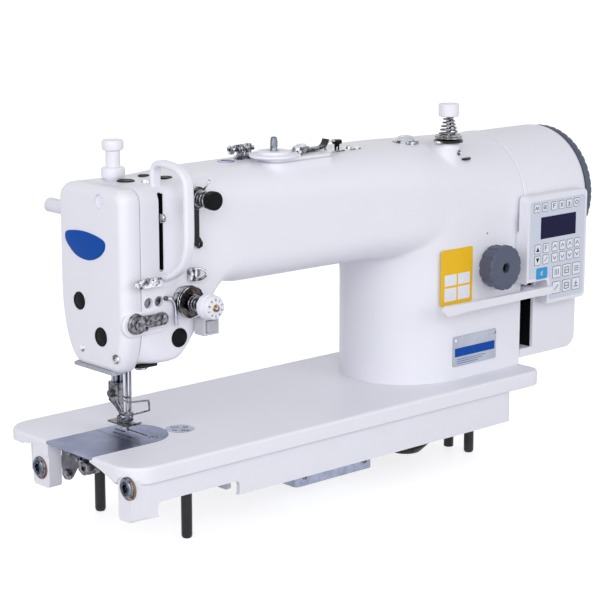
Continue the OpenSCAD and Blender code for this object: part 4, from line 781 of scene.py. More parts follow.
# ---- Bed ----------------------------------------------------------------------------------------

BED_L, BED_W = (BED_HIGH.x - BED_LOW.x) / MM, (BED_HIGH.y - BED_LOW.y) / MM
RIM, DECK, SKIRT, SKIRT_END = 13.7, 8.0, 43.0, ARM_END - 34
PLATE_Y, PLATE_R, PLATE_JOINT = middle("slide_plate").y, 30.9, spot("slide_plate")[1].x
HOOK = middle("hook_shaft")
# Places of the rest pins, of the hinge lugs along the rear rim and of the knee lift's bore
PINS = ((81, 35), (70, 138), (428, 47), (430, 140))
HINGES, KNEE = (110, 370), (423, 68)
# The round disc in the bed beside the needle plate, and its row of marks
DISC = (103, 70)
DISC_MARKS = ((100.3, 77.8), (102.1, 76.2), (104.0, 74.5), (108.0, 70.9), (109.8, 69.3), (95.6, 69.8),
    (97.2, 68.1), (101.1, 64.6), (102.9, 63.0), (104.6, 61.4))


def plate_form(x0, grow, x1=None):
    """Outline of the plates in the bed, round at the right end unless cut off at x1."""
    if x1 is not None:
        return rounded((x0, PLATE_Y - PLATE_R - grow), (x1, PLATE_Y + PLATE_R + grow), 0.3, 2)
    nose, r = NEEDLE.x - 1.5, PLATE_R + grow
    arc = [(nose + r * cos(a), PLATE_Y + r * sin(a))
        for a in [radians(-90 + 180 * i / 40) for i in range(41)]]
    return [(x0, PLATE_Y + r), (x0, PLATE_Y - r)] + arc


class BedCasting(bpy.types.Operator):
    """Casts the bed with its rim, skirt and bearing blocks, and hangs the feed's bracket and link in it"""
    bl_idname = "machine.bed_casting"
    bl_label = "Bed casting"

    def execute(self, context):
        r, corner = sizes().bed_edge_radius / MM, 24

        def ring(z, inset):
            turns = [q - inset for q in (14, corner, corner, 14)]
            return [(x, y, z) for x, y in rounded((inset, inset), (BED_L - inset, BED_W - inset), turns,
                16)]
        rings = [ring(-RIM, 0.8),
            ring(-RIM + 0.8, 0)] + [ring(-r + r * sin(radians(a)), r * (1 - cos(radians(a))))
            for a in range(0, 91, 15)]
        bed = from_mesh("bed_shell", skin(new(), rings))

        def skirt(low, high, inset, x1):
            out = rounded((inset, inset), (x1, BED_W - inset), (8, corner - inset, corner - inset, 8), 12)
            return prism(new(), "z", out, low, high)
        shell = skirt(-SKIRT, -RIM + 2, 4, SKIRT_END)
        body = from_mesh("skirt_shell", shell)
        combine(body,
            cuts=[skirt(-SKIRT - 1, 2, 8, SKIRT_END - 4),
            block((28, -1, -SKIRT - 1), (111.5, BED_W + 1, -SKIRT + 12), "y", 4),
            block((-1, 22, -SKIRT - 1), (26, BED_W + 1, 0))])
        # Hollow below the deck, and a left rim that thins towards the plates
        combine(bed,
            cuts=[skirt(-RIM - 1, -DECK, 8, SKIRT_END - 4),
            prism(new(), "x", [(58.4, -3.4), (40, -7.5), (26, -12.6), (22, -60), (58.4, -60)], -1, 9),
            prism(new(), "x", [(118.6, -3.4), (118.6, -60), (172, -60), (172, -10), (140, -7.5)], -1, 9)])
        lift, rock = (12.5, -16), (124, -24)
        blocks = [block((111.5, 20, -SKIRT), (115.5, 74, -DECK + 1), "x", 2),
            block((2, 4, -SKIRT), (26, 20.5, -DECK + 1), "x", 3),
            block((0.8, 111.5, -40), (13, 134.5, -2.6), "x", 4),
            block((400, 4, -26), (414, 20.5, -DECK + 1), "x", 3),
            block((400, 114, -34), (414, 134, -DECK + 1), "x", 4),
            block((NEEDLE.x + 22, AXLE[0] - 17, HOOK.z - 14), (NEEDLE.x + 42, AXLE[0] + 17, -DECK + 1), "x",
            8), block((418, AXLE[0] - 17, HOOK.z - 14), (434, AXLE[0] + 17, -DECK + 1), "x", 8),
            rod("z", 9, -SKIRT, -DECK + 1, KNEE)]
        blocks += [rod("z", 7, -RIM - 18, -DECK + 1, (x, y)) for x, y in PINS]
        blocks += [block((x - 11, BED_W - 26, -RIM - 14), (x + 11, BED_W, -DECK + 1), "y", 4)
            for x in HINGES]
        blocks += [rod("z", 6, -SKIRT - 16, -DECK + 1, (x, 53)) for x in (206, 276)]
        blocks += [rod("z", 8, -SKIRT + 5, -DECK + 1, (355, 50))]
        mesh = new()
        mesh.from_mesh(body.data)
        for v in mesh.verts:
            v.co = (v.co - CORNER) / MM
        bpy.data.objects.remove(body)
        combine(bed, adds=[mesh] + blocks,
            cuts=[prism(new(), "z", plate_form(-1, 0.2), -2.5, 1),
            prism(new(), "z", plate_form(-1, -2.5), -SKIRT, 0),
            block((375, 58, -SKIRT), (399, 119, 1), "z", 3), rod("z", 4.7, -SKIRT - 1, 1, KNEE),
            rod("x", 4.3, 1, 415, lift), rod("x", 5.1, 1, 415, rock),
            rod("x", 11.1, NEEDLE.x + 21, NEEDLE.x + 43, (HOOK.y, HOOK.z)),
            rod("x", 11.1, 417, 435, (HOOK.y, HOOK.z)), rod("x", 8.9, -1, 2, lift),
            rod("x", 8.9, -1, 2, rock), rod("z", 12.2, -2.5, 1, DISC)]
            + [rod("y", 5, BED_W - 24, BED_W + 1, (x, -RIM - 5)) for x in HINGES]
            + [rod("z", 4.7, -RIM - 19, -RIM - 4, (x, y)) for x, y in PINS])
        settle(bed, "bed_enamel_baked", stands_for="bed_casting", slot="bed_enamel", angle=40)
        # Bracket and link of the feed below the slide plate
        piece("feed_bracket",
            prism(new(), "x", [(100, -3.2), (76, -3.2), (75, -8), (88, -26), (91, -28.6), (97, -28.6),
            (100, -26)], 5, 8), "dark_sheet_steel", bevel=0.5)
        bits = new()
        lathe(bits, (0, 91.5, -23.5), "x", [(0, 2.5), (3.8, 2.5), (4.2, 3.0), (4.2, 6), (0, 6)], steps=28)
        lathe(bits, (0, 64.5, -12), "x", [(2.2, 0.5), (5.2, 0.5), (5.6, 1.0), (5.6, 14), (2.2, 14)],
            steps=32, closed=True)
        box_at(bits, (4, 60, -17.5), (14, 76, -7.5), "x", 3)
        wire(bits, [(7, 96, -4.6), (6, 86, -6.2), (6, 76, -9.5)], 2.4, steps=16)
        piece("feed_link", bits, "blasted_steel", angle=40)
        # Dark disc in the link's bore: painted shade
        piece("feed_link_bore", lathe(new(), (0, 64.5, -12), "x", [(0, 0.9), (2.3, 0.9), (2.3, 3), (0, 3)],
            steps=24), "shadowed_recess")
        return {"FINISHED"}


class Plates(bpy.types.Operator):
    """Lays the brushed slide plate, the needle plate with its slots and the toothed feed dog"""
    bl_idname = "machine.plates"
    bl_label = "Needle and slide plates"

    def execute(self, context):
        piece("slide_plate_brushed", prism(new(), "z", plate_form(0.05, -0.05, PLATE_JOINT - 0.1), -2.5, 0),
            "brushed_plate_steel", "slide_plate", "slide_plate", "polished_steel", bevel=0.18)
        plate = from_mesh("needle_plate_brushed",
            prism(new(), "z", plate_form(PLATE_JOINT + 0.35, -0.05), -2.5, 0))
        slots = [block((x - 1.3, y0, -4), (x + 1.3, y1, 1), "z", 1.1) for x, y0,
            y1 in ((NEEDLE.x - 6.5, PLATE_Y - 12, PLATE_Y + 16),
            (NEEDLE.x + 6.5, PLATE_Y - 12, PLATE_Y + 16), (NEEDLE.x, AXLE[0] + 4, AXLE[0] + 18))]
        scribed = [block((NEEDLE.x + x, PLATE_Y - 15, -0.15), (NEEDLE.x + x + 0.35, PLATE_Y + 17, 1), "z")
            for x in (11, 15)]
        combine(plate, cuts=slots + scribed + [rod("z", 1.2, -4, 1, (NEEDLE.x, AXLE[0]), 24),
            rod("z", 3.8, -1.2, 1, (NEEDLE.x + 7.2, PLATE_Y - 19.3)),
            rod("z", 2.4, -1.2, 1, (NEEDLE.x + 7.2, PLATE_Y + 20.3))])
        settle(plate, "brushed_plate_steel", stands_for="needle_plate", slot="polished_steel", bevel=0.15)
        # Bright strip along the joint of the plates: a painted highlight on the needle plate's edge
        piece("plate_joint_edge", box_at(new(), (PLATE_JOINT + 0.4, PLATE_Y - PLATE_R + 0.4, -0.3),
            (PLATE_JOINT + 0.95, PLATE_Y + PLATE_R - 0.4, 0.04), r=0.1), "nickel_plated_wire")
        heads = new()
        for y, r in ((PLATE_Y - 19.3, 3.5), (PLATE_Y + 20.3, 2.2)):
            screw_head(heads, (NEEDLE.x + 7.2, y, -1.2), "z", 1, r, 1.1)
        piece("plate_screws", heads, "ground_steel", angle=35)
        # Dark bar on the screw head: painted shade in its slot
        piece("plate_screw_slot",
            box_at(new(), (NEEDLE.x + 6.9, PLATE_Y - 22.4, -0.12), (NEEDLE.x + 7.5, PLATE_Y - 16.2, 0.02)),
            "shadowed_recess")
        dog = new()
        box_at(dog, (NEEDLE.x - 9, PLATE_Y - 12, -5.2), (NEEDLE.x + 9, AXLE[0] + 17, -3.3), r=1.5)
        box_at(dog, (NEEDLE.x, AXLE[0] - 6, -5.2), (83, AXLE[0] + 8, -3.3), r=1.0)
        for x, y0 in ((NEEDLE.x - 6.5, PLATE_Y - 11), (NEEDLE.x, AXLE[0] + 7),
                (NEEDLE.x + 6.5, PLATE_Y - 11)):
            y, teeth = y0, [(y0, -3.6)]
            while y < AXLE[0] + 15.5:
                teeth += [(y, -1.5), (y + 1.15, -0.4), (y + 1.3, -1.5)]
                y += 1.6
            teeth += [(y, -3.6)]
            prism(dog, "x", teeth, x - 0.9, x + 0.9)
        piece("feed_dog_toothed", dog, "ground_steel", "feed", "feed_dog", "ground_steel", angle=20)
        return {"FINISHED"}


# ---- Head fittings ------------------------------------------------------------------------------

class TakeUpGuard(bpy.types.Operator):
    """Bends the thick enamelled guard around the take-up lever's slot"""
    bl_idname = "machine.take_up_guard"
    bl_label = "Take-up guard"

    def execute(self, context):
        path = [(3.2, -3), (3.2, 6), (3.0, 12), (0.8, 16.6), (-5, 18.7), (-15, 18.3), (-27, 16.0),
            (-34, 11.8), (-37.4, 5), (-38.2, -10), (-38.2, -37), (-36.2, -49), (-30.5, -60), (-21, -67.2),
            (-11, -71.6), (-4.5, -74.8)]
        x = NEEDLE.x + 5.5
        points = smooth_path([(x, FRONT + 7 + y, TOP + z) for y, z in path], 6)
        section = [(a * 0.98, b) for a, b in oval_corners((-2.6, -4.6), (2.6, 4.6), ((2.3, 2.3),) * 4,
            steps=5)]
        piece("guard_band", sweep(new(), points, section), "white_enamel_baked", stands_for="take_up_guard",
            slot="white_enamel", angle=60)
        foot = new()
        prism(foot, "y", rounded((NEEDLE.x - 1.5, 128.5), (NEEDLE.x + 15, 134.5), 2.5), FRONT - 1.5,
            FRONT + 3)
        screw_head(foot, (NEEDLE.x + 2, FRONT - 1.5, 131.5), "y", -1, 1.8, 0.8)
        piece("guard_foot", foot, "white_enamel_baked", bevel=0.5)
        # Dark sheets along the inner walls of the lever's slot: painted shade in the slot
        shade_sheets = new()
        prism(shade_sheets, "y", rounded((NEEDLE.x + 4.5, 142), (NEEDLE.x + 4.95, TOP - 5), 0.2), FRONT + 0.4,
            FRONT + 13)
        prism(shade_sheets, "y", rounded((NEEDLE.x + 0.5, 142), (NEEDLE.x + 0.9, TOP - 5), 0.2), FRONT + 0.6,
            FRONT + 13)
        piece("slot_liner", shade_sheets, "shadowed_recess")
        # Take-up lever: hub, arm and the eye that stands in the slot
        hub_y, hub_z, eye = PRESSER.y + 3, AXLE[1] + 26, (FRONT - 1.0, AXLE[1] + 34)
        lever = from_mesh("take_up_lever_body", rod("x", 9, 72.8, 76.4, (hub_y, hub_z)))
        combine(lever,
            adds=[prism(new(), "x", [(hub_y, hub_z + 6), (74.5, hub_z + 8), (71, hub_z + 4), (74.5, hub_z),
            (hub_y, hub_z - 6)], 72.8, 75.8), block((NEEDLE.x + 1.2, 71, hub_z), (75.8, 76, hub_z + 8), "x",
            1.5),
            prism(new(), "x", [(76, hub_z + 7.5), (eye[0], eye[1] + 2.4), (eye[0] - 1, eye[1]),
            (eye[0], eye[1] - 2.4), (76, hub_z + 0.5)], NEEDLE.x + 1.2, NEEDLE.x + 3.8)],
            cuts=[rod("x", 4.6, 72, 78, (hub_y, hub_z))])
        settle(lever, "nickel_plated_wire", "take_up", "take_up_lever", "polished_steel", bevel=0.3)
        piece("take_up_eye",
            lathe(new(), (0, *eye), "x",
            [(1.5, NEEDLE.x + 1.3), (3.6, NEEDLE.x + 1.3), (3.9, NEEDLE.x + 2.6), (3.6, NEEDLE.x + 4.0),
            (1.5, NEEDLE.x + 4.0)], steps=36, closed=True), "chrome_plated_steel", "take_up", angle=50)
        return {"FINISHED"}


def disc_pair(bm, centre, axis, sign, r, rise):
    """Two dished tension discs, back to back."""
    dish = [(3, 0), (r * 0.55, 0.15), (r * 0.8, 0.5), (r, 1.1), (r, 1.35), (r * 0.78, 0.85),
        (r * 0.55, 0.5), (3, 0.4)]
    for form in (dish, [(q, rise - v) for q, v in dish]):
        lathe(bm, centre, axis, [(q, v * sign) for q, v in form], steps=56, closed=True)


def numeral_ring(name, centre, axis_front, r, height, body, values, finish="key_ink_black", proud=0.12):
    """Raised numbers round a face that looks toward the front."""
    bm = new()
    for k, value in enumerate(values):
        curve = bpy.data.curves.new("numeral", "FONT")
        curve.body = str(value)
        curve.size = height
        curve.align_x, curve.align_y = "CENTER", "CENTER"
        curve.extrude = proud / 2
        obj = bpy.data.objects.new("numeral", curve)
        bpy.context.scene.collection.objects.link(obj)
        bpy.context.view_layer.update()
        mesh = bpy.data.meshes.new_from_object(obj.evaluated_get(bpy.context.evaluated_depsgraph_get()))
        a = 2 * pi * k / len(values)
        spin = Matrix.Rotation(radians(90), 4, "X") @ Matrix.Rotation(-a, 4, "Z")
        shift = Matrix.Translation((centre[0] + r * sin(a), axis_front, centre[2] + r * cos(a)))
        mesh.transform(shift @ spin)
        bm.from_mesh(mesh)
        bpy.data.objects.remove(obj)
    piece(name, bm, finish, body)


class Tensions(bpy.types.Operator):
    """Builds the main tension with its numbered knob, the pre-tension and the thread post"""
    bl_idname = "machine.tensions"
    bl_label = "Thread tensions"

    def execute(self, context):
        metal, springs, discs, rims = new(), new(), new(), new()
        x, z = KNOB.x, KNOB.z
        front = FRONT - 2
        # Main tension: base ring, two discs, spring, stud
        lathe(metal, (x, 0, z), "y", [(4, front), (11, front), (11, front - 2.4), (9.8, front - 3.8),
            (4, front - 4)], steps=48, closed=True)
        disc_pair(discs, (x, front - 4.4, z), "y", -1, 13.0, 3.4)
        # Bright chrome rings on the disc rims: painted highlights round the dark-painted discs
        for h in (5.0, 7.2):
            lathe(rims, (x, front - h, z), "y", [(12.7 + q, v) for q, v in circle(0.34, 8)], steps=64,
                closed=True)
        lathe(metal, (x, 0, z), "y", [(0, 48.8), (4, 48.8), (4, front - 1), (2.4, front - 2), (2.4, 3),
            (0, 3)], steps=24)
        coil(springs, (x, 0, z), "y", 6.6, front - 8.4, 21, 4.5, 0.8, r2=4.4)
        # Check spring: a loose coil and its long arm
        coil(springs, (x, 0, z), "y", 8.8, front - 0.6, front - 3.4, 2.0, 0.45, start=0.4)
        wire(springs,
            [(x - 7, front - 2.5, z + 6), (x - 12, front - 3.5, z + 9), (x - 16.5, front - 4, z + 6),
            (x - 13, front - 4.5, z + 11.5), (x - 8, front - 4, z + 13), (x + 4, front - 3, z + 12.5)],
            0.45)
        # Pre-tension
        px, pz = EARLY.x, EARLY.z
        disc_pair(discs, (px, FRONT - 3.2, pz), "y", -1, 9.2, 3.0)
        for h in (3.8, 5.6):
            lathe(rims, (px, FRONT - h, pz), "y", [(8.9 + q, v) for q, v in circle(0.3, 8)], steps=48,
                closed=True)
        lathe(metal, (px, 0, pz), "y", [(0, 48.8), (2.4, 48.8), (2.4, 20.6), (0, 20.6)], steps=24)
        coil(springs, (px, 0, pz), "y", 6.6, FRONT - 6.6, 25.0, 4.0, 0.8, r2=5.4)
        lathe(metal, (px, 0, pz), "y", [(2.6, 25.0), (6.8, 25.0), (7.2, 24.4), (7.2, 23.0), (2.6, 22.5)],
            steps=36, closed=True)
        wire(metal, [(px + 4.5, FRONT - 6, pz + 5), (px + 5.5, FRONT - 10, pz + 9),
            (px + 7.5, FRONT - 12, pz + 14.5)], 1.0)
        # Thread post on the arm: black base, plate, discs, tall spring
        bx, by, bz = POST.x, POST.y, ARM_TOP
        lathe(metal, (bx, by, bz), "z", [(0, -11), (2.9, -11), (2.9, 1), (2.4, 1.5), (2.4, 32), (0, 32)],
            steps=24)
        disc_pair(discs, (bx, by, bz + 3.0), "z", 1, 12.0, 3.4)
        for h in (3.8, 5.9):
            lathe(rims, (bx, by, bz + h), "z", [(11.7 + q, v) for q, v in circle(0.32, 8)], steps=56,
                closed=True)
        coil(springs, (bx, by, bz), "z", 8.2, 6.6, 22.4, 5.0, 0.85, r2=3.8)
        prism(metal, "z", [(bx - 2 + u, by + v) for u, v in rounded((-14, -5), (14, 5), 4.9)], bz + 0.3,
            bz + 1.9)
        screw_head(metal, (bx + 8, by - 1, bz + 1.9), "z", 1, 2.4, 1.4, hexagon=1.0)
        piece("tension_discs", metal, "chrome_plated_steel", stands_for="tension_units",
            slot="polished_steel", angle=32)
        piece("tension_springs", springs, "spring_wire", angle=60)
        piece("tension_disc_faces", discs, "oiled_disc_chrome", angle=32)
        # The rims of all three tensions: painted highlights on the dark-painted discs
        piece("tension_disc_rims", rims, "chrome_plated_steel", angle=60)
        base = new()
        lathe(base, (bx, by, bz), "z", [(0, 0.05), (13, 0.05), (13, 2.0), (12.4, 2.5), (3, 2.6)], steps=48)
        skin(base,
            [[(bx + 16 + 6.2 * cos(a), by - 6 + 3.4 * sin(a), roof(bx + 12, by - 6) + h)
            for a in [2 * pi * i / 28 for i in range(28)]] for h in (-0.8, 0.9)])
        piece("post_base_disc", base, "black_lacquered_steel", angle=40)
        # Post's white cap
        piece("post_cap",
            lathe(new(), (bx, by, bz), "z",
            [(2.6, 22.9), (8.2, 22.9), (8.9, 23.5), (9.2, 33.2), (8.6, 34.2), (5.4, 34.5), (5.0, 33.8),
            (2.6, 33.6)], steps=56, closed=True, lobes=lambda a, r: 1 + 0.008 * cos(16 * a) * (r > 8.5)),
            "white_abs_moulded", "post_cap", "post_tension_cap", "white_plastic", angle=34)
        # Numbered knob
        piece("tension_knob_body",
            lathe(new(), (x, 0, z), "y", [(2.6, 18), (8.6, 18), (9.9, 17), (10.2, 12.5), (10.0, 11.4),
            (9.6, 11.0), (9.4, 6.4), (8.7, 5.2), (4.2, 5.0), (2.6, 5.0)], steps=96, closed=True,
            lobes=lambda a, r: 1 + (0.018 * cos(32 * a) if r > 9 else 0)), "white_abs_moulded",
            "tension_knob", "tension_knob", "white_plastic", angle=34)
        piece("knob_insert",
            lathe(new(), (x, 0, z), "y", [(2.3, 6.0), (3.2, 6.0), (3.2, 4.75), (2.9, 4.5), (2.3, 4.5)],
            steps=32, closed=True), "turned_brass", "tension_knob", angle=34)
        numeral_ring("knob_numerals", (x, 0, z), 4.98, 6.6, sizes().numeral_height / MM, "tension_knob",
            range(10))
        # Pre-tension's black nut, knurled
        piece("pre_tension_nut_body",
            lathe(new(), (px, 0, pz), "y", [(2.6, 22.4), (6.8, 22.4), (7.4, 21.8), (7.4, 16.4), (6.8, 15.6),
            (3.0, 15.4), (0, 15.5), (0, 22.4)], steps=96, lobes=lambda a,
            r: 1 + (0.022 * cos(30 * a) if r > 7.3 else 0)), "black_nylon_moulded", "pre_tension",
            "pre_tension_nut", "black_plastic", angle=34)
        return {"FINISHED"}


class ThreadGuides(bpy.types.Operator):
    """Fits the chrome guides, the clamped arm, the hook and the black strip of the thread's path"""
    bl_idname = "machine.thread_guides"
    bl_label = "Thread guides"

    def execute(self, context):
        x, y = NEEDLE.x, FRONT
        guides = new()
        # Three-hole guide with its clamp screw
        body = from_mesh("three_hole_guide",
            prism(new(), "y", rounded((x - 27.5, 131.5), (x - 1, 138.5), 3.2), y - 7, y - 5.4))
        combine(body, cuts=[rod("y", 1.3, y - 9, y, (u, 135), 20) for u in (39, 43, 47)],
            adds=[prism(new(), "y", rounded((50, 132), (58, 138), 2.4), y - 6, y + 0.4)])
        screw_head(guides, (x - 9.5, y - 7, 135), "y", -1, 2.8, 1.6, hexagon=1.1)
        wire(guides, [(x - 27, y - 6, 133.5), (x - 30, y - 8.5, 134.5), (x - 29.5, y - 9.5, 137.5),
            (x - 26, y - 8, 138)], 0.8)
        settle(body, "chrome_plated_steel", bevel=0.35)
        # D-shaped guide above the tension
        wire(guides, [(93, y - 4, 131.5), (100, y - 7, 131.5), (105.5, y - 8, 135.5), (100, y - 7, 140),
            (93, y - 4, 140)], 1.1)
        box_at(guides, (91.5, y - 5, 130.5), (94.5, y + 0.5, 141), "y", 1)
        box_at(guides, (95, y - 6.4, 132.5), (97, y - 4.4, 139.2), "y", 0.5)
        # Bent hook beside the tension, with its dark stub
        piece("bent_hook",
            wire(new(), [(69.2, y - 1.6, 119.4), (71.6, y - 2.6, 119.2), (74.2, y - 3.2, 117.6),
            (76.2, y - 3.4, 113.6), (76.8, y - 3.4, 107), (77.4, y - 3.4, 97)], 1.55, steps=16),
            "nickel_plated_wire", angle=50)
        stub = new()
        lathe(stub, (69.2, 0, 119.4), "y", [(0, y - 3.4), (1.5, y - 3.4), (1.9, y - 2.8), (1.9, y + 0.6),
            (0, y + 0.6)], steps=24)
        wire(stub, [(62, y - 1.2, 133), (66, y - 1.5, 136.5), (72, y - 1.5, 137), (82, y - 1.2, 136.6)],
            0.35)
        piece("hook_stub", stub, "ground_steel", angle=40)
        # Grey floors in the head's two holes and a plate behind the D guide: painted shade in the openings
        opening_shade = new()
        for u in HOLE_X:
            lathe(opening_shade, (u, 0, HOLE_Z), "y",
                [(0, y + 3.2), (4.2, y + 3.2), (4.2, y + 4.2), (0, y + 4.2)], steps=32)
        prism(opening_shade, "y", rounded((93.5, 132), (104.5, 139.6), 3.6), y - 1.2, y + 0.4)
        piece("guide_opening", opening_shade, "blasted_steel")
        piece("head_top_screw", screw_head(new(), (75.3, 74.3, TOP - 0.2), "z", 1, 3.6, 2.2),
            "chrome_plated_steel", angle=50)
        # Guide on the arm's top: oval plate with a black knob
        gx, gy = 284, 75
        top = roof(gx, gy)
        prism(guides, "z", [(gx + u, gy + v) for u, v in rounded((-30, -7.5), (26, 7.5), 7)], top - 0.6,
            top + 1.0)
        wire(guides, [(gx - 14, gy - 1, top + 0.5), (gx - 14, gy - 1, top + 6.5), (gx - 8, gy - 1, top + 9),
            (gx - 1, gy - 1, top + 6.5), (gx - 1, gy - 1, top + 0.5)], 1.1)
        screw_head(guides, (gx + 14, gy, top + 1), "z", 1, 2.6, 1.5, hexagon=1.1)
        screw_head(guides, (gx - 23, gy, top + 1), "z", 1, 2.6, 1.5, hexagon=1.1)
        piece("chrome_guides", guides, "chrome_plated_steel", stands_for="thread_guides",
            slot="polished_steel", angle=35)
        piece("guide_knob",
            lathe(new(), (gx, gy, 0), "z",
            [(0, top + 0.8), (2.2, top + 0.8), (2.2, top + 5), (4.2, top + 6), (4.6, top + 7.5),
            (4.0, top + 9.2), (0, top + 9.4)], steps=32), "black_nylon_moulded", angle=40)
        # Clamped arm below: stacked washers, a forked flat bar and its cap screw
        wx, wz = 38.6, 103.2
        arm = from_mesh("clamped_arm", prism(new(), "y", rounded((wx - 5, 99.6), (67.5, 109.2), 4.4),
            y - 6.4, y - 3.8))
        combine(arm,
            cuts=[prism(new(), "y", [(43, 102), (59, 105.4), (61, 105), (60, 103.6), (44, 101)], y - 12,
            y - 5.4)],
            adds=[prism(new(), "y", rounded((58.5, 103.2), (67.5, 109.2), 2.8), y - 4.4, y + 0.4)])
        settle(arm, "blasted_steel", bevel=0.35)
        bits = new()
        lathe(bits, (wx, 0, wz), "y", [(0, y + 0.4), (8.4, y + 0.4), (8.4, y - 1.6), (8.0, y - 2.0),
            (8.0, y - 3.6), (7.4, y - 4.0), (7.4, y - 6.0), (6.8, y - 6.8), (4.6, y - 7.0), (4.6, y - 8.4),
            (0, y - 8.6)], steps=44)
        screw_head(bits, (wx + 4.6, y - 6.4, wz - 2.6), "y", -1, 3.0, 3.0, hexagon=1.3)
        screw_head(bits, (63.6, y - 6.4, 106.2), "y", -1, 2.3, 1.2)
        piece("clamped_arm_screws", bits, "blasted_steel", angle=35)
        piece("guide_boss", prism(new(), "y", rounded((26.5, 92.4), (71.5, 112), 9.6, 10), y - 1.6, y + 3),
            "white_enamel_baked", bevel=1.2, steps=3)
        # Black strip below the pre-tension, its tip pierced
        strip = from_mesh("pre_tension_strip",
            prism(new(), "y", rounded((EARLY.x - 3.2, 163), (EARLY.x + 3.2, EARLY.z - 7), 0.8), y - 3.4,
            y - 1.7))
        tip = prism(new(), "y", [(EARLY.x - 3.2, 165), (EARLY.x - 1.5, 158.5), (EARLY.x + 2.6, 155.5),
            (EARLY.x + 6, 157), (EARLY.x + 6.4, 160), (EARLY.x + 3.2, 165)], y - 3.9, y - 2.1)
        combine(strip, adds=[tip], cuts=[rod("y", 1.3, y - 6, y, (EARLY.x + 3.4, 159), 20)])
        settle(strip, "black_lacquered_steel", bevel=0.3)
        return {"FINISHED"}


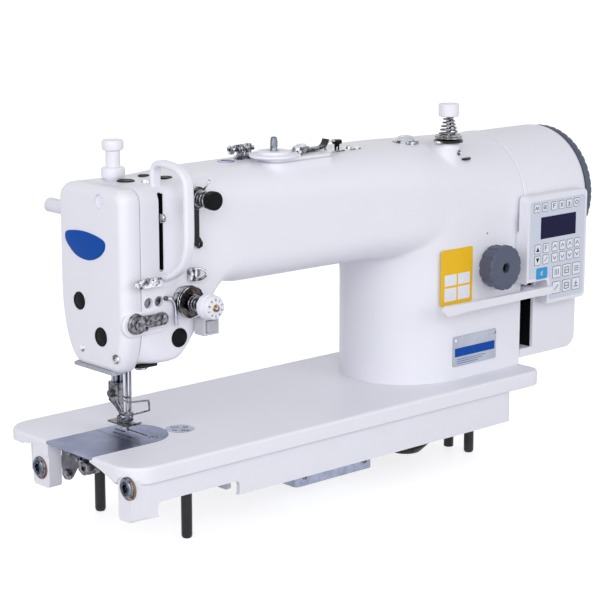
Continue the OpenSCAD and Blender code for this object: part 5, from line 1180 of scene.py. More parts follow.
class NeedleAndFoot(bpy.types.Operator):
    """Turns the needle and its clamp, and builds the foot, its guard, the gasket and the lamp plate"""
    bl_idname = "machine.needle_and_foot"
    bl_label = "Needle and foot"

    def execute(self, context):
        x, y = NEEDLE.x, AXLE[0]
        needle = new()
        lathe(needle, (x, y, 0), "z", [(0, 21.4), (0.95, 21.4), (0.99, 8.6), (0.62, 7.4), (0.6, -10.6),
            (0.52, -11.6), (0.14, -14.9), (0, -15)], steps=20)
        piece("needle_turned", needle, "chrome_plated_steel", "needle_bar", "needle", "polished_steel",
            angle=40)
        clamp = new()
        lathe(clamp, (x, y, 0), "z", [(3.7, 18.4), (4.5, 18.0), (4.5, 11.4), (4.0, 10.6), (3.7, 10.6)],
            steps=40, closed=True)
        screw_head(clamp, (x - 4.2, y, 14.5), "x", -1, 2.1, 2.6, hexagon=0.9)
        wire(clamp, [(x - 1, y - 4.2, 17), (x - 1, y - 5.6, 14.5), (x + 1.4, y - 5.6, 12.8),
            (x + 1.4, y - 4.2, 12)], 0.4)
        piece("needle_clamp", clamp, "ground_steel", "needle_bar", angle=35)
        px, py = PRESSER.x, PRESSER.y
        sole_y, sole_z = py - 7.5, 11.5
        foot = from_mesh("foot_shank",
            prism(new(), "z", rounded((px - 5.8, py - 6.2), (px + 5.4, py + 6.6), 2.6, 6), 24, 40))
        neck = [[(u, v, h) for u, v in rounded(a, b, q, 5)] for h, a, b,
            q in ((25, (px - 5.8, py - 6.2), (px + 5.4, py + 6.4), 2.6),
            (23.5, (px - 5.6, py - 6.6), (px + 5.0, py + 5.2), 2.4),
            (21, (px - 4.4, py - 7.8), (px + 4.2, py + 2.4), 2.2),
            (18, (px - 3.4, py - 9.6), (px + 3.4, py - 0.4), 2.0),
            (15, (px - 2.9, sole_y - 3.2), (px + 2.9, sole_y + 4.4), 1.8),
            (12, (px - 2.9, sole_y - 3.2), (px + 2.9, sole_y + 3.2), 1.8),
            (9.2, (px - 2.9, sole_y - 2.4), (px + 2.9, sole_y + 2.4), 1.4))]
        combine(foot, adds=[skin(new(), neck)],
            cuts=[rod("z", 5.1, 22, 41, (px, py), 40),
            block((px + 2, py - 0.5, 24), (px + 8, py + 0.5, 41))])
        settle(foot, "blasted_steel", "presser", "presser_foot", "ground_steel", bevel=0.5)
        piece("foot_screw",
            lathe(new(), (0, py, 31), "x",
            [(0, px - 8.8), (2.9, px - 8.8), (3.2, px - 8.2), (3.2, px - 5.2), (0, px - 5.2)], steps=32,
            lobes=lambda a, r: 1 + 0.03 * cos(20 * a) * (r > 3)), "black_oxide_steel", "presser", angle=35)
        guard = new()
        r = sizes().wire_radius / MM
        corners = [(px - 6, py - 5, 30.5), (px - 10, py - 16, 30.4), (px - 10.6, py - 29, 30),
            (px - 9, py - 30, 30), (px + 7.6, py - 30, 28.4), (px + 8.9, py - 30, 27.2),
            (px + 9.4, py - 30, 20.8), (px + 8.2, py - 30, 19.8), (px - 6, py - 30, 19.4),
            (px - 8.6, py - 28, 19), (px - 8.2, py - 20, 18), (px - 3, py - 8, 16)]
        wire(guard, corners, r, per=5)
        piece("finger_guard", guard, "spring_wire", "presser", angle=60)
        sole = new()
        toe = [(sole_y - 19, 9.4), (sole_y - 18.2, 10.1), (sole_y - 13, 7.9), (sole_y + 11.2, 8.1),
            (sole_y + 12, 7.6), (sole_y + 11.2, 6.5), (sole_y - 12.6, 6.5), (sole_y - 16.4, 7.4)]
        prism(sole, "x", toe, px - 8, x - 1.3)
        prism(sole, "x", toe, x + 1.3, px + 4.5)
        prism(sole, "x", [(sole_y + 12, 7.6), (sole_y + 11.2, 6.5), (y + 3.2, 6.5), (y + 3.2, 8.05),
            (sole_y + 11.2, 8.1)], x - 1.4, x + 1.4)
        for low, high in ((px - 5.2, px - 3.4), (px + 3.4, px + 5.2)):
            prism(sole, "x", [(sole_y - 3, 7.5), (sole_y + 3, 7.5), (sole_y + 2.2, 13), (sole_y, 14),
                (sole_y - 2.2, 13)], low, high)
        lathe(sole, (0, sole_y, sole_z), "x",
            [(0, px - 5.6), (1.5, px - 5.6), (1.5, px + 5.6), (0, px + 5.6)], steps=20)
        piece("foot_sole", sole, "blasted_steel", "sole", "presser_sole", "ground_steel", bevel=0.3)
        # Gasket collar and lamp plate below the head
        gasket = new()
        h = HEAD_LOW
        prism(gasket, "z", rounded((SEAM - 15.5, AXLE[0] - 26), (SEAM - 1, AXLE[0] + 26), 3, 6), h - 7.4,
            h - 4)
        for k in range(17):
            box_at(gasket, (SEAM - 16.2, AXLE[0] - 24 + k * 3.0, h - 7.2),
                (SEAM - 15.2, AXLE[0] - 22.4 + k * 3.0, h - 4.4), r=0.3)
        piece("head_gasket", gasket, "grey_rubber_gasket", bevel=0.3)
        # Lamp: a thin black plate under the head with its chrome bezel
        piece("lamp_plate", block((SEAM + 1.5, 50, h - 2.2), (66.5, 68, h - 0.05), "z", 2.5),
            "black_abs_moulded", stands_for="lamp", slot="black_plastic", bevel=0.3)
        piece("lamp_bezel",
            lathe(new(), (54.5, 57.5, 0), "z",
            [(0, h - 2), (5.4, h - 2), (5.4, h - 3.4), (4.6, h - 4.4), (3.4, h - 4.4), (3.2, h - 3.8),
            (0, h - 3.8)], steps=40), "chrome_plated_steel", angle=35)
        return {"FINISHED"}


class PresserTop(bpy.types.Operator):
    """Winds the presser spring and turns the regulator"""
    bl_idname = "machine.presser_top"
    bl_label = "Presser regulator and spring"

    def execute(self, context):
        px, py = PRESSER.x, PRESSER.y
        cap = new()
        profile = [(7.3, 191.2), (7.4, TOP + 1.6), (9.2, TOP + 1.6), (9.6, TOP + 2.4), (9.6, TOP + 8.4),
            (8.8, TOP + 9.6)]
        profile += [(6.0 - 0.22 * (k % 2), TOP + 10.4 + 0.9 * k) for k in range(15)]
        profile += [(8.3, TOP + 24), (8.7, TOP + 25), (8.7, TOP + 30.4), (7.9, TOP + 31.6), (3, TOP + 31.9),
            (2.4, TOP + 31.2)]
        lathe(cap, (px, py, 0), "z", profile + [(0, TOP + 31.2)], steps=96, lobes=lambda a,
            r: 1 + (0.012 * cos(30 * a) if r > 8.2 else 0))
        body = from_mesh("regulator_nut", cap)
        combine(body, cuts=[rod("z", 3.1, 190, TOP + 2, (px, py), 32)])
        settle(body, "white_abs_moulded", "regulator", "presser_regulator", "white_plastic", angle=34)
        piece("presser_spring_coil", coil(new(), (px, py, 0), "z", 5.0, 146.8, 189.6, sizes().spring_turns,
            0.85), "spring_wire", "presser", "presser_spring", "spring_steel", angle=60)
        return {"FINISHED"}


# ---- Arm's top ----------------------------------------------------------------------------------

class BobbinWinder(bpy.types.Operator):
    """Builds the winder's base, discs and trip lever, the cutter behind them and the plugs nearby"""
    bl_idname = "machine.bobbin_winder"
    bl_label = "Bobbin winder"

    def execute(self, context):
        x, y, z = WINDER.x, WINDER.y, ARM_TOP + 0.5
        base = from_mesh("winder_plate",
            prism(new(), "z", rounded((x - 10, y - 12), (x + 58, y + 14), 8, 8), z, z + 2.6))
        combine(base,
            adds=[rod("z", 5, ARM_TOP - 11.5, z + 5, (x, y)), rod("z", 3.9, z, z + 10, (x + 36, y + 6))],
            cuts=[rod("z", 3.1, ARM_TOP - 13, z + 6, (x, y))])
        settle(base, "white_enamel_baked", stands_for="winder_base", slot="polished_steel", bevel=0.4)
        fittings = new()
        for u, v in ((x + 20, y - 8), (x + 52, y + 9.5), (x + 22, y + 9)):
            screw_head(fittings, (u, v, z + 2.6), "z", 1, 2.7, 1.7, hexagon=1.2)
        box_at(fittings, (x + 15, y - 5, z + 2.6), (x + 29, y + 5, z + 6.5), "z", 2)
        lathe(fittings, (x + 24, y - 1, 0), "z",
            [(0, z + 6), (3.4, z + 6), (3.4, z + 8.4), (2.6, z + 9.4), (0, z + 9.6)], steps=28)
        # Cutter bracket behind the discs, with its screw, nut and spring
        box_at(fittings, (x - 17, y + 24, z - 1.5), (x + 1, y + 33, z + 2.6), "z", 2)
        screw_head(fittings, (x - 13, y + 28, z + 2.6), "z", 1, 3.4, 3.0, hexagon=1.6)
        lathe(fittings, (0, y + 29, z + 8), "x", [(0, x - 21), (2.2, x - 21), (2.2, x + 2), (0, x + 2)],
            steps=24)
        screw_head(fittings, (x - 21, y + 29, z + 8), "x", -1, 4.2, 2.6, hexagon=1.6)
        coil(fittings, (0, y + 29, z + 8), "x", 3.4, x - 17, x - 6, 4, 0.6)
        box_at(fittings, (x - 5, y + 26, z + 2), (x - 1.5, y + 32, z + 12), "z", 1)
        screw_head(fittings, (POST.x + 3, POST.y - 10.6, ARM_TOP - 9), "y", -1, 2.6, 1.2, hexagon=1.0)
        piece("winder_fittings", fittings, "chrome_plated_steel", angle=35)
        spindle, discs = new(), new()
        lathe(spindle, (x, y, 0), "z",
            [(0, ARM_TOP - 11), (2.95, ARM_TOP - 11), (2.95, z + 17.5), (2.4, z + 19.4), (1.6, z + 20),
            (0, z + 20)], steps=28)
        coil(spindle, (x, y, 0), "z", 3.0, z + 11, z + 16, 3, 0.45)
        piece("winder_spindle_pin", spindle, "blued_steel", "winder", "winder_spindle", "white_plastic",
            angle=35)
        lathe(discs, (x, y, 0), "z", [(2.95, z + 3.4), (20.4, z + 3.4), (21, z + 4), (21, z + 5.4),
            (20.4, z + 6), (14.2, z + 6.1), (14, z + 8.0), (13.4, z + 8.5), (5.4, z + 8.6), (4.8, z + 7.6),
            (2.95, z + 7.6)], steps=64, closed=True, lobes=lambda a,
            r: 1 + (0.006 * cos(60 * a) if r > 20 else 0))
        piece("winder_discs", discs, "white_abs_moulded", "winder", angle=34)
        lever = from_mesh("trip_lever", rod("z", 6.8, z + 3.4, z + 8, (x + 36, y + 6)))
        combine(lever,
            adds=[prism(new(), "z",
            [(x + 34, y + 1.5), (x + 50, y + 2.2), (x + 60, y + 4), (x + 60.5, y + 8), (x + 50, y + 9.8),
            (x + 34, y + 10)], z + 3.6, z + 5.8)], cuts=[rod("z", 4.1, z + 3, z + 9, (x + 36, y + 6))])
        settle(lever, "blasted_steel", "winder_trip", "winder_lever", "polished_steel", bevel=0.4)
        leaf = new()
        strip = smooth_path([(x + 57, y + 6, z + 5), (x + 61, y + 6, z + 6.4), (x + 63.5, y + 6, z + 9.4),
            (x + 64.2, y + 6, z + 12)], 5)
        sweep(leaf, strip, rounded((-4.2, -0.6), (4.2, 0.6), 0.5, 3), up=(1, 0, -0.4))
        piece("trip_leaf", leaf, "black_oxide_steel", "winder_trip", angle=50)
        rings = new()
        ox, oy = 169, 87
        lathe(rings, (ox, oy, roof(ox, oy)), "z",
            [(4.4, -1), (7.2, -1), (7.2, 0.5), (6.4, 1.0), (5.0, 1.0), (4.4, 0.5)], steps=40, closed=True)
        piece("ring_plug", rings, "zinc_plated_sheet", angle=35)
        core = new()
        lathe(core, (ox, oy, roof(ox, oy)), "z", [(0, -1), (4.5, -1), (4.5, 0.2), (0, 0.5)], steps=32)
        vx, vy = 236, 52
        skin(core,
            [[(vx + 5 * cos(a), vy + 4 * sin(a), roof(vx, vy + 4 * sin(a)) + h)
            for a in [2 * pi * i / 32 for i in range(32)]] for h in (-1.2, 0.35)])
        piece("arm_top_plugs", core, "black_nylon_moulded", angle=40)
        return {"FINISHED"}


class OilWindow(bpy.types.Operator):
    """Seats the milky oil window in its chrome ring"""
    bl_idname = "machine.oil_window"
    bl_label = "Oil window"

    def execute(self, context):
        x, y, z = OIL.x, OIL.y, roof(OIL.x, OIL.y)
        ring, dome = new(), new()
        lathe(ring, (x, y, z), "z", [(8.6, -2.5), (12, -2.5), (12, 1.2), (11.2, 2.1), (9.6, 2.1),
            (8.6, 1.4)], steps=56, closed=True)
        piece("oil_ring", ring, "chrome_plated_steel", angle=34)
        lathe(dome, (x, y, z), "z", [(0, -1.5), (8.6, -1.5), (8.6, 1.6), (8.0, 3.4), (6.6, 5.0), (4.6, 5.9),
            (2.0, 6.3), (0, 6.3)], steps=48)
        piece("oil_dome", dome, "clear_acrylic", stands_for="oil_window", slot="clear_plastic", angle=60)
        return {"FINISHED"}


# ---- Motor end ----------------------------------------------------------------------------------

class MotorEnd(bpy.types.Operator):
    """Moulds the motor cover, the handwheel and the control box under it"""
    bl_idname = "machine.motor_end"
    bl_label = "Motor cover and handwheel"

    def execute(self, context):
        cy, cz = AXLE
        x0, x1 = MOTOR
        cap_l, cap_w = 9, 4.4
        profile = [(MOTOR_R - 2, x0.x + 0.1), (MOTOR_R + 0.1, x0.x + 0.1), (MOTOR_R + 0.8, x0.x + 0.8),
            (MOTOR_R + 0.8, x0.x + 3.2), (MOTOR_R, x0.x + 4.2), (MOTOR_R, x1.x - cap_l)]
        profile += [(MOTOR_R - cap_w * (1 - cos(radians(a))), x1.x - cap_l + cap_l * sin(radians(a)))
            for a in range(10, 91, 10)]
        profile += [(MOTOR_R - cap_w - 3, x1.x), (20.5, x1.x), (20.5, x1.x - 3),
            (MOTOR_R - cap_w - 3, x1.x - 3), (MOTOR_R - 2, x1.x - cap_l)]
        piece("motor_shell", lathe(new(), (0, cy, cz), "x", profile, steps=128, closed=True),
            "white_abs_moulded", stands_for="motor_cover", slot="white_plastic", angle=34)
        # Dark ring in the joint of arm and motor cover: painted shade in the seam
        piece("motor_seam",
            lathe(new(), (0, cy, cz), "x",
            [(MOTOR_R - 6, ARM_END - 4), (MOTOR_R - 1.3, ARM_END - 4), (MOTOR_R - 1.3, x0.x + 6),
            (MOTOR_R - 6, x0.x + 6)], steps=96, closed=True), "shadowed_recess", angle=34)
        wheel_low, wheel_high = spot("handwheel")
        r = MOTOR_R - 1.4
        face, back = wheel_high.x, x1.x + 1
        rim = [(17, wheel_low.x), (17, back), (r - 3, back), (r - 1.2, back + 0.5), (r, back + 1.8),
            (r, face - 2.4), (r - 0.8, face - 0.8), (r - 2.4, face), (r - 8, face), (r - 9.4, face - 0.8),
            (r - 10.2, face - 5), (24, face - 5.6), (20, face - 4), (18, face - 0.4), (7.6, face - 0.4),
            (7.6, wheel_low.x)]
        piece("handwheel_rim", lathe(new(), (0, cy, cz), "x", rim, steps=192, closed=True, lobes=lambda a,
            q: 1 - (0.012 * (cos(48 * a) > 0.2) if q > r - 1 else 0)), "slate_abs_moulded", "drive",
            "handwheel", "dark_plastic", angle=34)
        piece("handwheel_screw", screw_head(new(), (face - 3.6, cy, cz), "x", 1, 7.2, 3.0, hexagon=3.0),
            "chrome_plated_steel", "drive", angle=35)
        low, high = BOX
        end, arc_r, open_at = x1.x - 12, MOTOR_R + 0.4, low.x + 17.5

        def case(start, inset, top):
            corners = rounded((start, low.z + inset), (end - inset, top), (1, 1, 1, 12 - inset), 8)
            return prism(new(), "y", corners, low.y + inset, high.y - inset)
        box = from_mesh("control_box_shell", case(open_at, 0, high.z))
        combine(box, adds=[block((low.x, low.y, low.z), (open_at + 1, high.y, low.z + 8), "y", 0.6)],
            cuts=[rod("x", arc_r, low.x - 1, high.x + 1, AXLE, 128), case(open_at - 1, 3, high.z + 30)]
            + [block((open_at + 12 + 5 * k, high.y - 4, low.z + 20),
            (open_at + 14.6 + 5 * k, high.y + 1, low.z + 70), "y", 1.2) for k in range(7)])
        settle(box, "white_abs_moulded", stands_for="control_box", slot="white_plastic", bevel=0.9, steps=3)
        # Dark sheet behind the vent slots: painted shade
        piece("vent_mesh",
            box_at(new(), (open_at + 10, high.y - 3.4, low.z + 18),
            (open_at + 46, high.y - 2.6, low.z + 72)), "shadowed_recess")
        return {"FINISHED"}


# Width of a key mark's stroke
STROKE = 0.62


def glyph(bm, kind, cx, cz, w, h, y):
    """Draws one generic key mark as thin strokes on the panel's film."""
    def stroke(points):
        for (x0, z0), (x1, z1) in zip(points, points[1:]):
            a, b = Vector((cx + x0 * w / 2, cz + z0 * h / 2)), Vector((cx + x1 * w / 2, cz + z1 * h / 2))
            side = (b - a).normalized().orthogonal() * STROKE / 2
            prism(bm, "y", [tuple(a + side), tuple(a - side), tuple(b - side), tuple(b + side)], y - 0.12,
                y + 0.05)

    marks = {
        "up": [[(-0.45, -0.3), (0, 0.4), (0.45, -0.3)]],
        "down": [[(-0.45, 0.3), (0, -0.4), (0.45, 0.3)]],
        "hook": [[(-0.3, -0.55), (-0.3, 0.5), (0.35, 0.5)], [(-0.3, 0.0), (0.25, 0.0)]],
        "slash": [[(-0.4, -0.4), (0.4, 0.45)]],
        "zigzag": [[(-0.5, -0.4), (-0.2, 0.4), (0.1, -0.4), (0.5, 0.4)]],
        "stitch": [[(-0.5, 0.35), (0.5, 0.35)], [(-0.5, 0.0), (0.5, 0.0)], [(-0.5, -0.35), (0.5, -0.35)]],
        "cross": [[(-0.4, -0.5), (0.4, 0.5)], [(-0.4, 0.5), (0.4, -0.5)]],
        "foot": [[(-0.45, -0.45), (0.45, -0.45)], [(0, -0.45), (0, 0.5)], [(-0.3, 0.1), (0.3, 0.1)]],
        "ring": [[(0.45 * cos(a), 0.45 * sin(a)) for a in [pi * i / 6 for i in range(13)]]],
        "bars": [[(-0.35, -0.5), (-0.35, 0.5)], [(0.0, -0.5), (0.0, 0.5)], [(0.35, -0.5), (0.35, 0.5)]],
        "box": [[(-0.45, -0.5), (0.45, -0.5), (0.45, 0.5), (-0.45, 0.5), (-0.45, -0.5)],
            [(-0.45, 0), (0.45, 0)]],
        "turn": [[(0.4, -0.45), (-0.4, -0.45), (-0.4, 0.35), (0.4, 0.35)],
            [(0.1, 0.65), (0.4, 0.35), (0.1, 0.05)]],
    }
    if kind in ("solid_up", "solid_down"):
        s = 0.55 if kind == "solid_up" else -0.55
        tri = [(-0.5, -s), (0.5, -s), (0, s)]
        prism(bm, "y", [(cx + u * w / 2, cz + v * h / 2) for u, v in tri], y - 0.12, y + 0.05)
        return
    for points in marks[kind]:
        stroke(points)


class ControlPanel(bpy.types.Operator):
    """Moulds the control panel with its film, its keys with plain marks and the smoked display"""
    bl_idname = "machine.control_panel"
    bl_label = "Control panel"

    def execute(self, context):
        low, high = spot("control_panel")
        y, back = low.y, COLUMN_FRONT - 0.35
        nook = spot("reverse_lever")[1].x + 0.5, low.z + 23
        shell = from_mesh("panel_shell", prism(new(), "y", rounded((low.x, low.z), (high.x, high.z), 5, 8),
            y, back - 3))
        combine(shell, adds=[block((low.x, y + 6, low.z), (high.x, back, high.z - 33), "y", 4)],
            cuts=[block((low.x - 1, y - 2, low.z - 1), (nook[0], back + 1, nook[1]), "y", 4),
            rod("x", MOTOR_R + 0.4, low.x - 2, high.x + 2, AXLE, 128)])
        settle(shell, "white_abs_moulded", stands_for="control_panel", slot="white_plastic", bevel=1.3,
            steps=3)
        window_low, window_high = spot("display_window")
        film = from_mesh("panel_film",
            prism(new(), "y", rounded((low.x + 3, low.z + 3.5), (high.x - 3, high.z - 5), 3, 6), y - 0.35,
            y + 0.2))
        combine(film,
            cuts=[block((low.x - 1, y - 2, low.z - 1), (nook[0] + 3, y + 1, nook[1] + 3), "y", 3.5),
            block((window_low.x + 2.6, y - 2, window_low.z + 1.9),
            (window_high.x - 1.6, y + 2, window_high.z - 1.4), "y")])
        settle(film, "key_film_printed", stands_for="keypad", slot="key_film", bevel=0.12)
        piece("display", box_at(new(), (window_low.x + 2.2, y - 0.2, window_low.z + 1.5),
            (window_high.x - 1.2, y + 1.4, window_high.z - 1.0), "y", 0.4), "display_window_acrylic",
            stands_for="display_window", slot="display_window")
        faces, rims, inks, blue, white = new(), new(), new(), new(), new()

        def key(cx, cz, w, h, mark):
            prism(rims, "y", rounded((cx - w / 2, cz - h / 2), (cx + w / 2, cz + h / 2), 1.3, 4), y - 0.5,
                y - 0.3)
            prism(faces, "y",
                rounded((cx - w / 2 + 0.45, cz - h / 2 + 0.45), (cx + w / 2 - 0.45, cz + h / 2 - 0.45), 1.0,
                4), y - 0.62, y - 0.3)
            glyph(inks, mark, cx, cz, w * 1.1, h * 0.95, y - 0.6)
        for x, mark in zip((477.6, 488.6, 501.6, 512.2, 522.6, 533.4),
                ("zigzag", "stitch", "hook", "cross", "foot", "ring")):
            key(x, 148.6, 8.2, 8.2, mark)
        for x, up, down in ((480, "solid_up", "solid_down"), (491.6, "hook", "slash"), (504, "up", "down"),
                (514.8, "up", "down"), (525.1, "up", "down"), (535.7, "up", "down")):
            key(x, 110.2, 8.4, 9.0, up)
            key(x, 99.6, 8.4, 9.0, down)
        for z, row in ((85.6, ("bars", "box", "stitch")), (70.8, ("slash", "box", "foot"))):
            for x, mark in zip((507.5, 521.8, 535.5), row):
                key(x, z, 11.6, 11.6, mark)
        prism(blue, "y", rounded((478.8, 81.8), (494.2, 92.4), 1.6, 4), y - 0.62, y - 0.3)
        glyph(white, "turn", 486.5, 87.1, 6.4, 6.4, y - 0.6)
        for name, bm, finish in (("key_rims", rims, "key_ink_grey"),
                ("key_faces", faces, "key_face_printed"), ("key_marks", inks, "key_ink_black"),
                ("key_blue", blue, "key_face_blue"), ("key_blue_mark", white, "key_face_printed")):
            piece(name, bm, finish)
        return {"FINISHED"}


class DialAndLever(bpy.types.Operator):
    """Moulds the scalloped stitch dial with its numbers and the long reverse lever"""
    bl_idname = "machine.dial_and_lever"
    bl_label = "Stitch dial and reverse lever"

    def execute(self, context):
        low, high = spot("stitch_dial")
        r, count = (high.x - low.x) / 2, sizes().dial_lobes
        face = low.y

        def scallop(a, q):
            return 1 - (0.05 * max(cos(count * a), 0) ** 2 if q > r - 2.2 else 0)
        piece("stitch_dial_body",
            lathe(new(), (DIAL.x, 0, DIAL.z), "y",
            [(5, high.y - 12.4), (r - 1.6, high.y - 12.5), (r - 1.2, high.y - 13.2), (r - 1.2, face + 7.6),
            (r - 0.2, face + 6.8), (r, face + 6.0), (r, face + 1.4), (r - 1.3, face + 0.2), (r - 2.6, face),
            (8.6, face), (7.4, face + 0.1), (5.2, face + 0.1), (4.4, face + 0.8), (4.4, face + 8),
            (5, face + 8.4)], steps=180, closed=True, lobes=scallop), "slate_abs_moulded", "stitch_dial",
            "stitch_dial", "dark_plastic", angle=32)
        # Dark hub set back in the dial's centre: painted shade in the recess
        hub = new()
        lathe(hub, (DIAL.x, 0, DIAL.z), "y", [(0, high.y - 0.1), (5.8, high.y - 0.1), (5.8, high.y - 12.4),
            (4.9, high.y - 12.4), (4.3, face + 5), (0, face + 5)], steps=40)
        piece("stitch_dial_hub", hub, "shadowed_recess", "stitch_dial", angle=32)
        numeral_ring("dial_numbers", (DIAL.x, 0, DIAL.z), face + 0.12, r - 6.2, 4.6, "stitch_dial",
            range(6), "key_ink_grey", 0.3)
        ticks = new()
        for k in range(36):
            a = 2 * pi * k / 36
            for q in [r - 3.4 + 0.5 * n for n in range(2)]:
                c = (DIAL.x + q * sin(a), DIAL.z + q * cos(a))
                box_at(ticks, (c[0] - 0.22, face - 0.1, c[1] - 0.22),
                    (c[0] + 0.22, face + 0.3, c[1] + 0.22), "y", 0.1)
        piece("dial_ticks", ticks, "key_ink_grey", "stitch_dial")
        tab = new()
        box_at(tab, (DIAL.x + 15, COLUMN_FRONT - 8, DIAL.z + 7),
            (DIAL.x + 22.5, COLUMN_FRONT - 3, DIAL.z + 14), "y", 1)
        lathe(tab, (DIAL.x - 5, 0, DIAL.z + 30), "y",
            [(0, COLUMN_FRONT - 0.3), (0.8, COLUMN_FRONT - 0.3), (0.8, COLUMN_FRONT + 4),
            (0, COLUMN_FRONT + 4)], steps=16)
        piece("dial_stop", tab, "black_nylon_moulded", bevel=0.3)
        # Reverse lever: a long flat bar, rounded at its end, on an arm and a hub behind the panel
        low, high = spot("reverse_lever")
        front, lz, px = low.y, middle("stitch_dial").z - 30, low.x + 4.6
        arc = [radians(90 + 180 * i / 14) for i in range(15)]
        ends = [(high.x - 0.3, lz + 4.8), (px + 26, lz + 5.2)] + [(px + 4.6 * cos(a), lz + 1 + 4.6 * sin(a))
            for a in arc]
        lever = from_mesh("reverse_lever_bar",
            prism(new(), "y", ends + [(px + 26, lz - 2.4), (high.x - 0.3, lz - 2)], front + 0.1,
            front + 4.8))
        combine(lever,
            adds=[block((high.x - 17, front + 0.5, lz - 2.8), (high.x - 7, front + 53, lz + 3.8), "y", 2),
            rod("x", 7.9, high.x - 17, high.x - 7, (front + 53, lz))],
            cuts=[rod("x", 4.1, high.x - 18, high.x - 6, (front + 53, lz))])
        settle(lever, "white_enamel_baked", "reverse_lever", "reverse_lever", "white_plastic", bevel=1.1,
            steps=3)
        return {"FINISHED"}


class Labels(bpy.types.Operator):
    """Rivets the blank nameplate and lays the blank yellow film on the column"""
    bl_idname = "machine.labels"
    bl_label = "Blank plate and film"

    def execute(self, context):
        y = COLUMN_FRONT
        low, high = (COLUMN + 63, 12), (COLUMN + 120, 40)
        piece("nameplate_blank", prism(new(), "y", rounded(low, high, 1.6, 4), y - 0.8, y),
            "anodised_aluminium", stands_for="nameplates", slot="plate_aluminium", bevel=0.15)
        band = new()
        box_at(band, (low[0] + 2.2, y - 0.95, low[1] + 9), (high[0] - 2.2, y - 0.6, low[1] + 17), "y", 0.4)
        for k in range(3):
            box_at(band, (low[0] + 5, y - 0.9, low[1] + 2.4 + 1.9 * k),
                (high[0] - 24 + 5 * k, y - 0.7, low[1] + 2.8 + 1.9 * k), "y", 0.1)
        piece("nameplate_band", band, "blue_stoved_enamel")
        rivets = new()
        for x in (low[0] + 2.6, high[0] - 2.6):
            screw_head(rivets, (x, y - 0.8, high[1] - 3.6), "y", -1, 1.5, 0.9)
        piece("nameplate_rivets", rivets, "chrome_plated_steel", angle=35)
        piece("film_blank", prism(new(), "y", rounded((COLUMN + 46, 70), (COLUMN + 87, 121), 2.2, 6),
            y - 0.25, y + 0.1), "yellow_vinyl_film")
        panes = new()
        for x0, x1, z0, z1 in ((51, 66.2, 74, 86), (68.2, 83.5, 74, 86), (51, 66.2, 88, 98),
                (68.2, 83.5, 88, 98)):
            prism(panes, "y", rounded((COLUMN + x0, z0), (COLUMN + x1, z1), 0.6, 3), y - 0.36, y - 0.2)
        piece("film_panes", panes, "key_face_printed")
        return {"FINISHED"}


# ---- Under the bed ------------------------------------------------------------------------------

class UnderBed(bpy.types.Operator):
    """Hangs the rest pins and the solenoid box under the bed"""
    bl_idname = "machine.under_bed"
    bl_label = "Under the bed"

    def execute(self, context):
        pins = new()
        for x, y in PINS:
            lathe(pins, (x, y, 0), "z", [(0, -18), (4.55, -18), (4.55, -31), (4.3, -31.6), (4.3, -33),
                (4.55, -33.6), (4.55, -77.6), (4.1, -79.2), (3.4, -80), (0, -80)], steps=32)
        piece("rest_pins_black", pins, "black_oxide_steel", stands_for="rest_pins", slot="black_steel",
            angle=35)
        low, high = spot("solenoid_box")
        box = from_mesh("solenoid_case", prism(new(), "z", rounded((low.x, low.y), (high.x, high.y), 4, 6),
            low.z, high.z))
        combine(box,
            cuts=[prism(new(), "z", rounded((low.x + 3, low.y + 3), (high.x - 3, high.y - 3), 2, 4),
            low.z + 3, high.z - 3)],
            adds=[block((low.x + 18, low.y - 0.8, low.z + 20), (high.x - 12, low.y + 1, high.z - 4), "y",
            2)])
        settle(box, "zinc_plated_sheet", stands_for="solenoid_box", slot="zinc_steel", bevel=0.5)
        trim = new()
        for x in (low.x + 10, high.x - 10):
            screw_head(trim, (x, low.y, low.z + 8), "y", -1, 2.4, 1.2, hexagon=1.0)
        piece("solenoid_screws", trim, "ground_steel", angle=35)
        return {"FINISHED"}


# CAD nodes that keep their own shape: finish and edge radius
KEPT = {"presser_bar": ("chrome_plated_bar", 0.2), "hand_lifter": ("white_abs_moulded", 0.4),
    "needle_bar": ("chrome_plated_bar", 0.3), "needle_bar_link": ("blasted_steel", 0.3),
    "needle_crank": ("blasted_steel", 0.5), "main_shaft": ("ground_steel", 0.4),
    "shaft_bushings": ("sintered_bronze", 0.2), "hook_shaft": ("ground_steel", 0.4),
    "rotating_hook": ("chrome_plated_steel", 0.3), "bobbin_case_holder": ("ground_steel", 0.3),
    "bobbin_case": ("chrome_plated_steel", 0.3), "bobbin": ("anodised_aluminium", 0.2),
    "timing_belt": ("moulded_neoprene", 0.0), "feed_bar": ("blasted_steel", 0.4),
    "feed_rock_shaft": ("blasted_steel", 0.3), "feed_lift_shaft": ("ground_steel", 0.3),
    "motor_rotor": ("stacked_laminations", 0.3), "motor_stator": ("stacked_laminations", 0.3),
    "control_board": ("black_abs_moulded", 0.1), "switch_box": ("pale_grey_abs_moulded", 0.8),
    "touch_switch": ("grey_abs_moulded", 0.8), "knee_lift_pin": ("black_oxide_steel", 0.5),
    "oil_pump": ("black_nylon_moulded", 0.8)}


class KeptNodes(bpy.types.Operator):
    """Gives the mechanism's own parts their metals and plastics and breaks their edges"""
    bl_idname = "machine.kept_nodes"
    bl_label = "Mechanism finishes"

    def execute(self, context):
        for node, (finish, bevel) in KEPT.items():
            polish_node(node, finish, bevel)
        return {"FINISHED"}


# ---- Stage --------------------------------------------------------------------------------------

# Camera: place in millimetres from the bed's corner, lens and sensor in millimetres, and its directions
CAMERA_AT, LENS, SENSOR = (-859.6, -1143.9, 445.7), 116.7, 36
AHEAD, RIGHT, UP = (0.6548, 0.7252, -0.2130), (0.7422, -0.6702, 0.0), (0.1427, 0.1581, 0.9771)
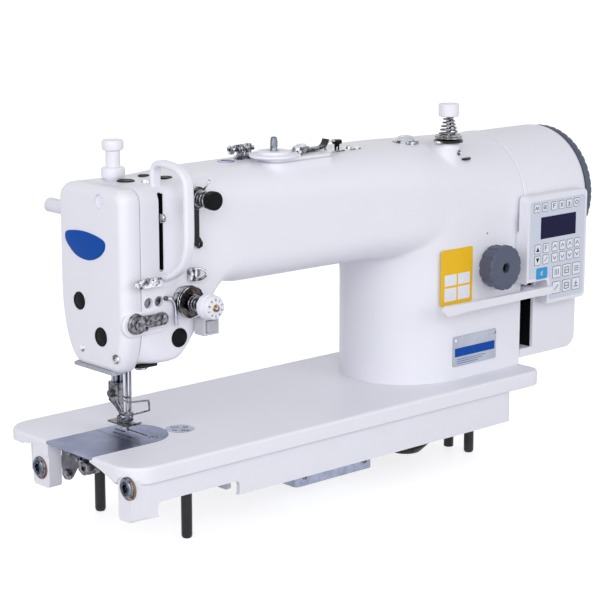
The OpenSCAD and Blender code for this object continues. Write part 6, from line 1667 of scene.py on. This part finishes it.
# Lamps: name, place in metres, watts and side; all look at one point
AIM = (0, 0, 0.15)
LAMPS = (("key", (-1.5, -1.7, 1.0), 20, 1.4), ("fill", (0.5, -2.2, 0.9), 13.5, 1.4),
    ("side", (-2.2, -0.3, 1.0), 13, 1.2), ("back", (0.7, 1.5, 2.0), 5.5, 1.2))


class Stage(bpy.types.Operator):
    """Sets the pale floor, the soft lights, the white surround and the camera"""
    bl_idname = "machine.stage"
    bl_label = "Stage"

    def execute(self, context):
        scene = context.scene
        floor_mesh = bpy.data.meshes.new("floor")
        floor_mesh.from_pydata([(-6, -6, 0), (6, -6, 0), (6, 6, 0), (-6, 6, 0)], [], [(0, 1, 2, 3)])
        floor = bpy.data.objects.new("floor", floor_mesh)
        scene.collection.objects.link(floor)
        floor.data.materials.append(self.floor_material())
        self.surround(scene)
        for name, spot_at, energy, size in LAMPS:
            lamp = bpy.data.lights.new(name, "AREA")
            lamp.energy, lamp.size = energy, size
            obj = bpy.data.objects.new(name, lamp)
            scene.collection.objects.link(obj)
            obj.location = spot_at
            obj.rotation_euler = (Vector(AIM) - Vector(spot_at)).to_track_quat("-Z", "Y").to_euler()
        camera = bpy.data.cameras.new("camera")
        camera.lens, camera.sensor_width = LENS, SENSOR
        obj = bpy.data.objects.new("camera", camera)
        scene.collection.objects.link(obj)
        obj.location = place(CAMERA_AT)
        axes = Matrix([RIGHT, UP, [-c for c in AHEAD]]).transposed()
        obj.rotation_euler = axes.to_euler()
        scene.camera = obj
        scene.view_settings.view_transform = "Standard"
        return {"FINISHED"}

    def floor_material(self):
        """Pale floor that shows white to the camera and keeps the machine's shadow."""
        mat = bpy.data.materials.new("floor_pale_matt")
        mat.use_nodes = True
        tree = mat.node_tree
        shader = tree.nodes["Principled BSDF"]
        shader.inputs["Base Color"].default_value = colour("#BFBFC4")
        shader.inputs["Roughness"].default_value = 0.6
        rays = add_node(tree, "ShaderNodeLightPath")
        seen = add_node(tree, "ShaderNodeMath",
            {0: rays.outputs["Is Camera Ray"], 1: rays.outputs["Is Glossy Ray"]}, operation="MAXIMUM")
        lit = add_node(tree, "ShaderNodeMath", {0: seen.outputs[0]}, operation="MULTIPLY")
        lit.inputs[1].default_value = 0.75
        shader.inputs["Emission Color"].default_value = (1, 1, 1, 1)
        tree.links.new(lit.outputs[0], shader.inputs["Emission Strength"])
        return mat

    def surround(self, scene):
        """White to the camera and in reflections, soft pale light for the rest."""
        world = bpy.data.worlds.new("surround")
        scene.world = world
        world.use_nodes = True
        tree = world.node_tree
        tree.nodes.clear()
        rays = add_node(tree, "ShaderNodeLightPath")
        seen = add_node(tree, "ShaderNodeMath",
            {0: rays.outputs["Is Camera Ray"], 1: rays.outputs["Is Glossy Ray"]}, operation="MAXIMUM")
        seen = add_node(tree, "ShaderNodeMath",
            {0: seen.outputs[0], 1: rays.outputs["Is Transmission Ray"]}, operation="MAXIMUM")
        soft = add_node(tree, "ShaderNodeBackground", Color=(0.95, 0.96, 1, 1), Strength=0.44)
        white = add_node(tree, "ShaderNodeBackground", Color=(1, 1, 1, 1), Strength=1.0)
        mix = add_node(tree, "ShaderNodeMixShader",
            {0: seen.outputs[0], 1: soft.outputs[0], 2: white.outputs[0]})
        add_node(tree, "ShaderNodeOutputWorld", {"Surface": mix.outputs[0]})


# ---- Panel and run ------------------------------------------------------------------------------

OPERATORS = (ArmCasting, FaceCover, Plugs, BedCasting, Plates, TakeUpGuard, Tensions, ThreadGuides,
    NeedleAndFoot, PresserTop, BobbinWinder, OilWindow, MotorEnd, ControlPanel, DialAndLever, Labels,
    UnderBed, KeptNodes, Stage)


class MachinePanel(bpy.types.Panel):
    """Lists the machine's sizes, colours and building steps"""
    bl_idname = "MACHINE_PT_build"
    bl_label = "Sewing Machine"
    bl_space_type = "VIEW_3D"
    bl_region_type = "UI"
    bl_category = "Sewing Machine"

    def draw(self, context):
        for name in MachineSizes.__annotations__:
            self.layout.prop(context.scene.machine_sizes, name)
        for name in MachineColours.__annotations__:
            self.layout.prop(context.scene.machine_colours, name)
        for kind in OPERATORS:
            self.layout.operator(kind.bl_idname)


def register():
    for kind in (MachineSizes, MachineColours, *OPERATORS, MachinePanel):
        bpy.utils.register_class(kind)
    bpy.types.Scene.machine_sizes = PointerProperty(type=MachineSizes)
    bpy.types.Scene.machine_colours = PointerProperty(type=MachineColours)


def unregister():
    del bpy.types.Scene.machine_sizes
    del bpy.types.Scene.machine_colours
    for kind in (MachinePanel, *reversed(OPERATORS), MachineColours, MachineSizes):
        bpy.utils.unregister_class(kind)


def main():
    register()
    for kind in OPERATORS:
        group, name = kind.bl_idname.split(".")
        getattr(getattr(bpy.ops, group), name)()


if __name__ == "__main__":
    main()
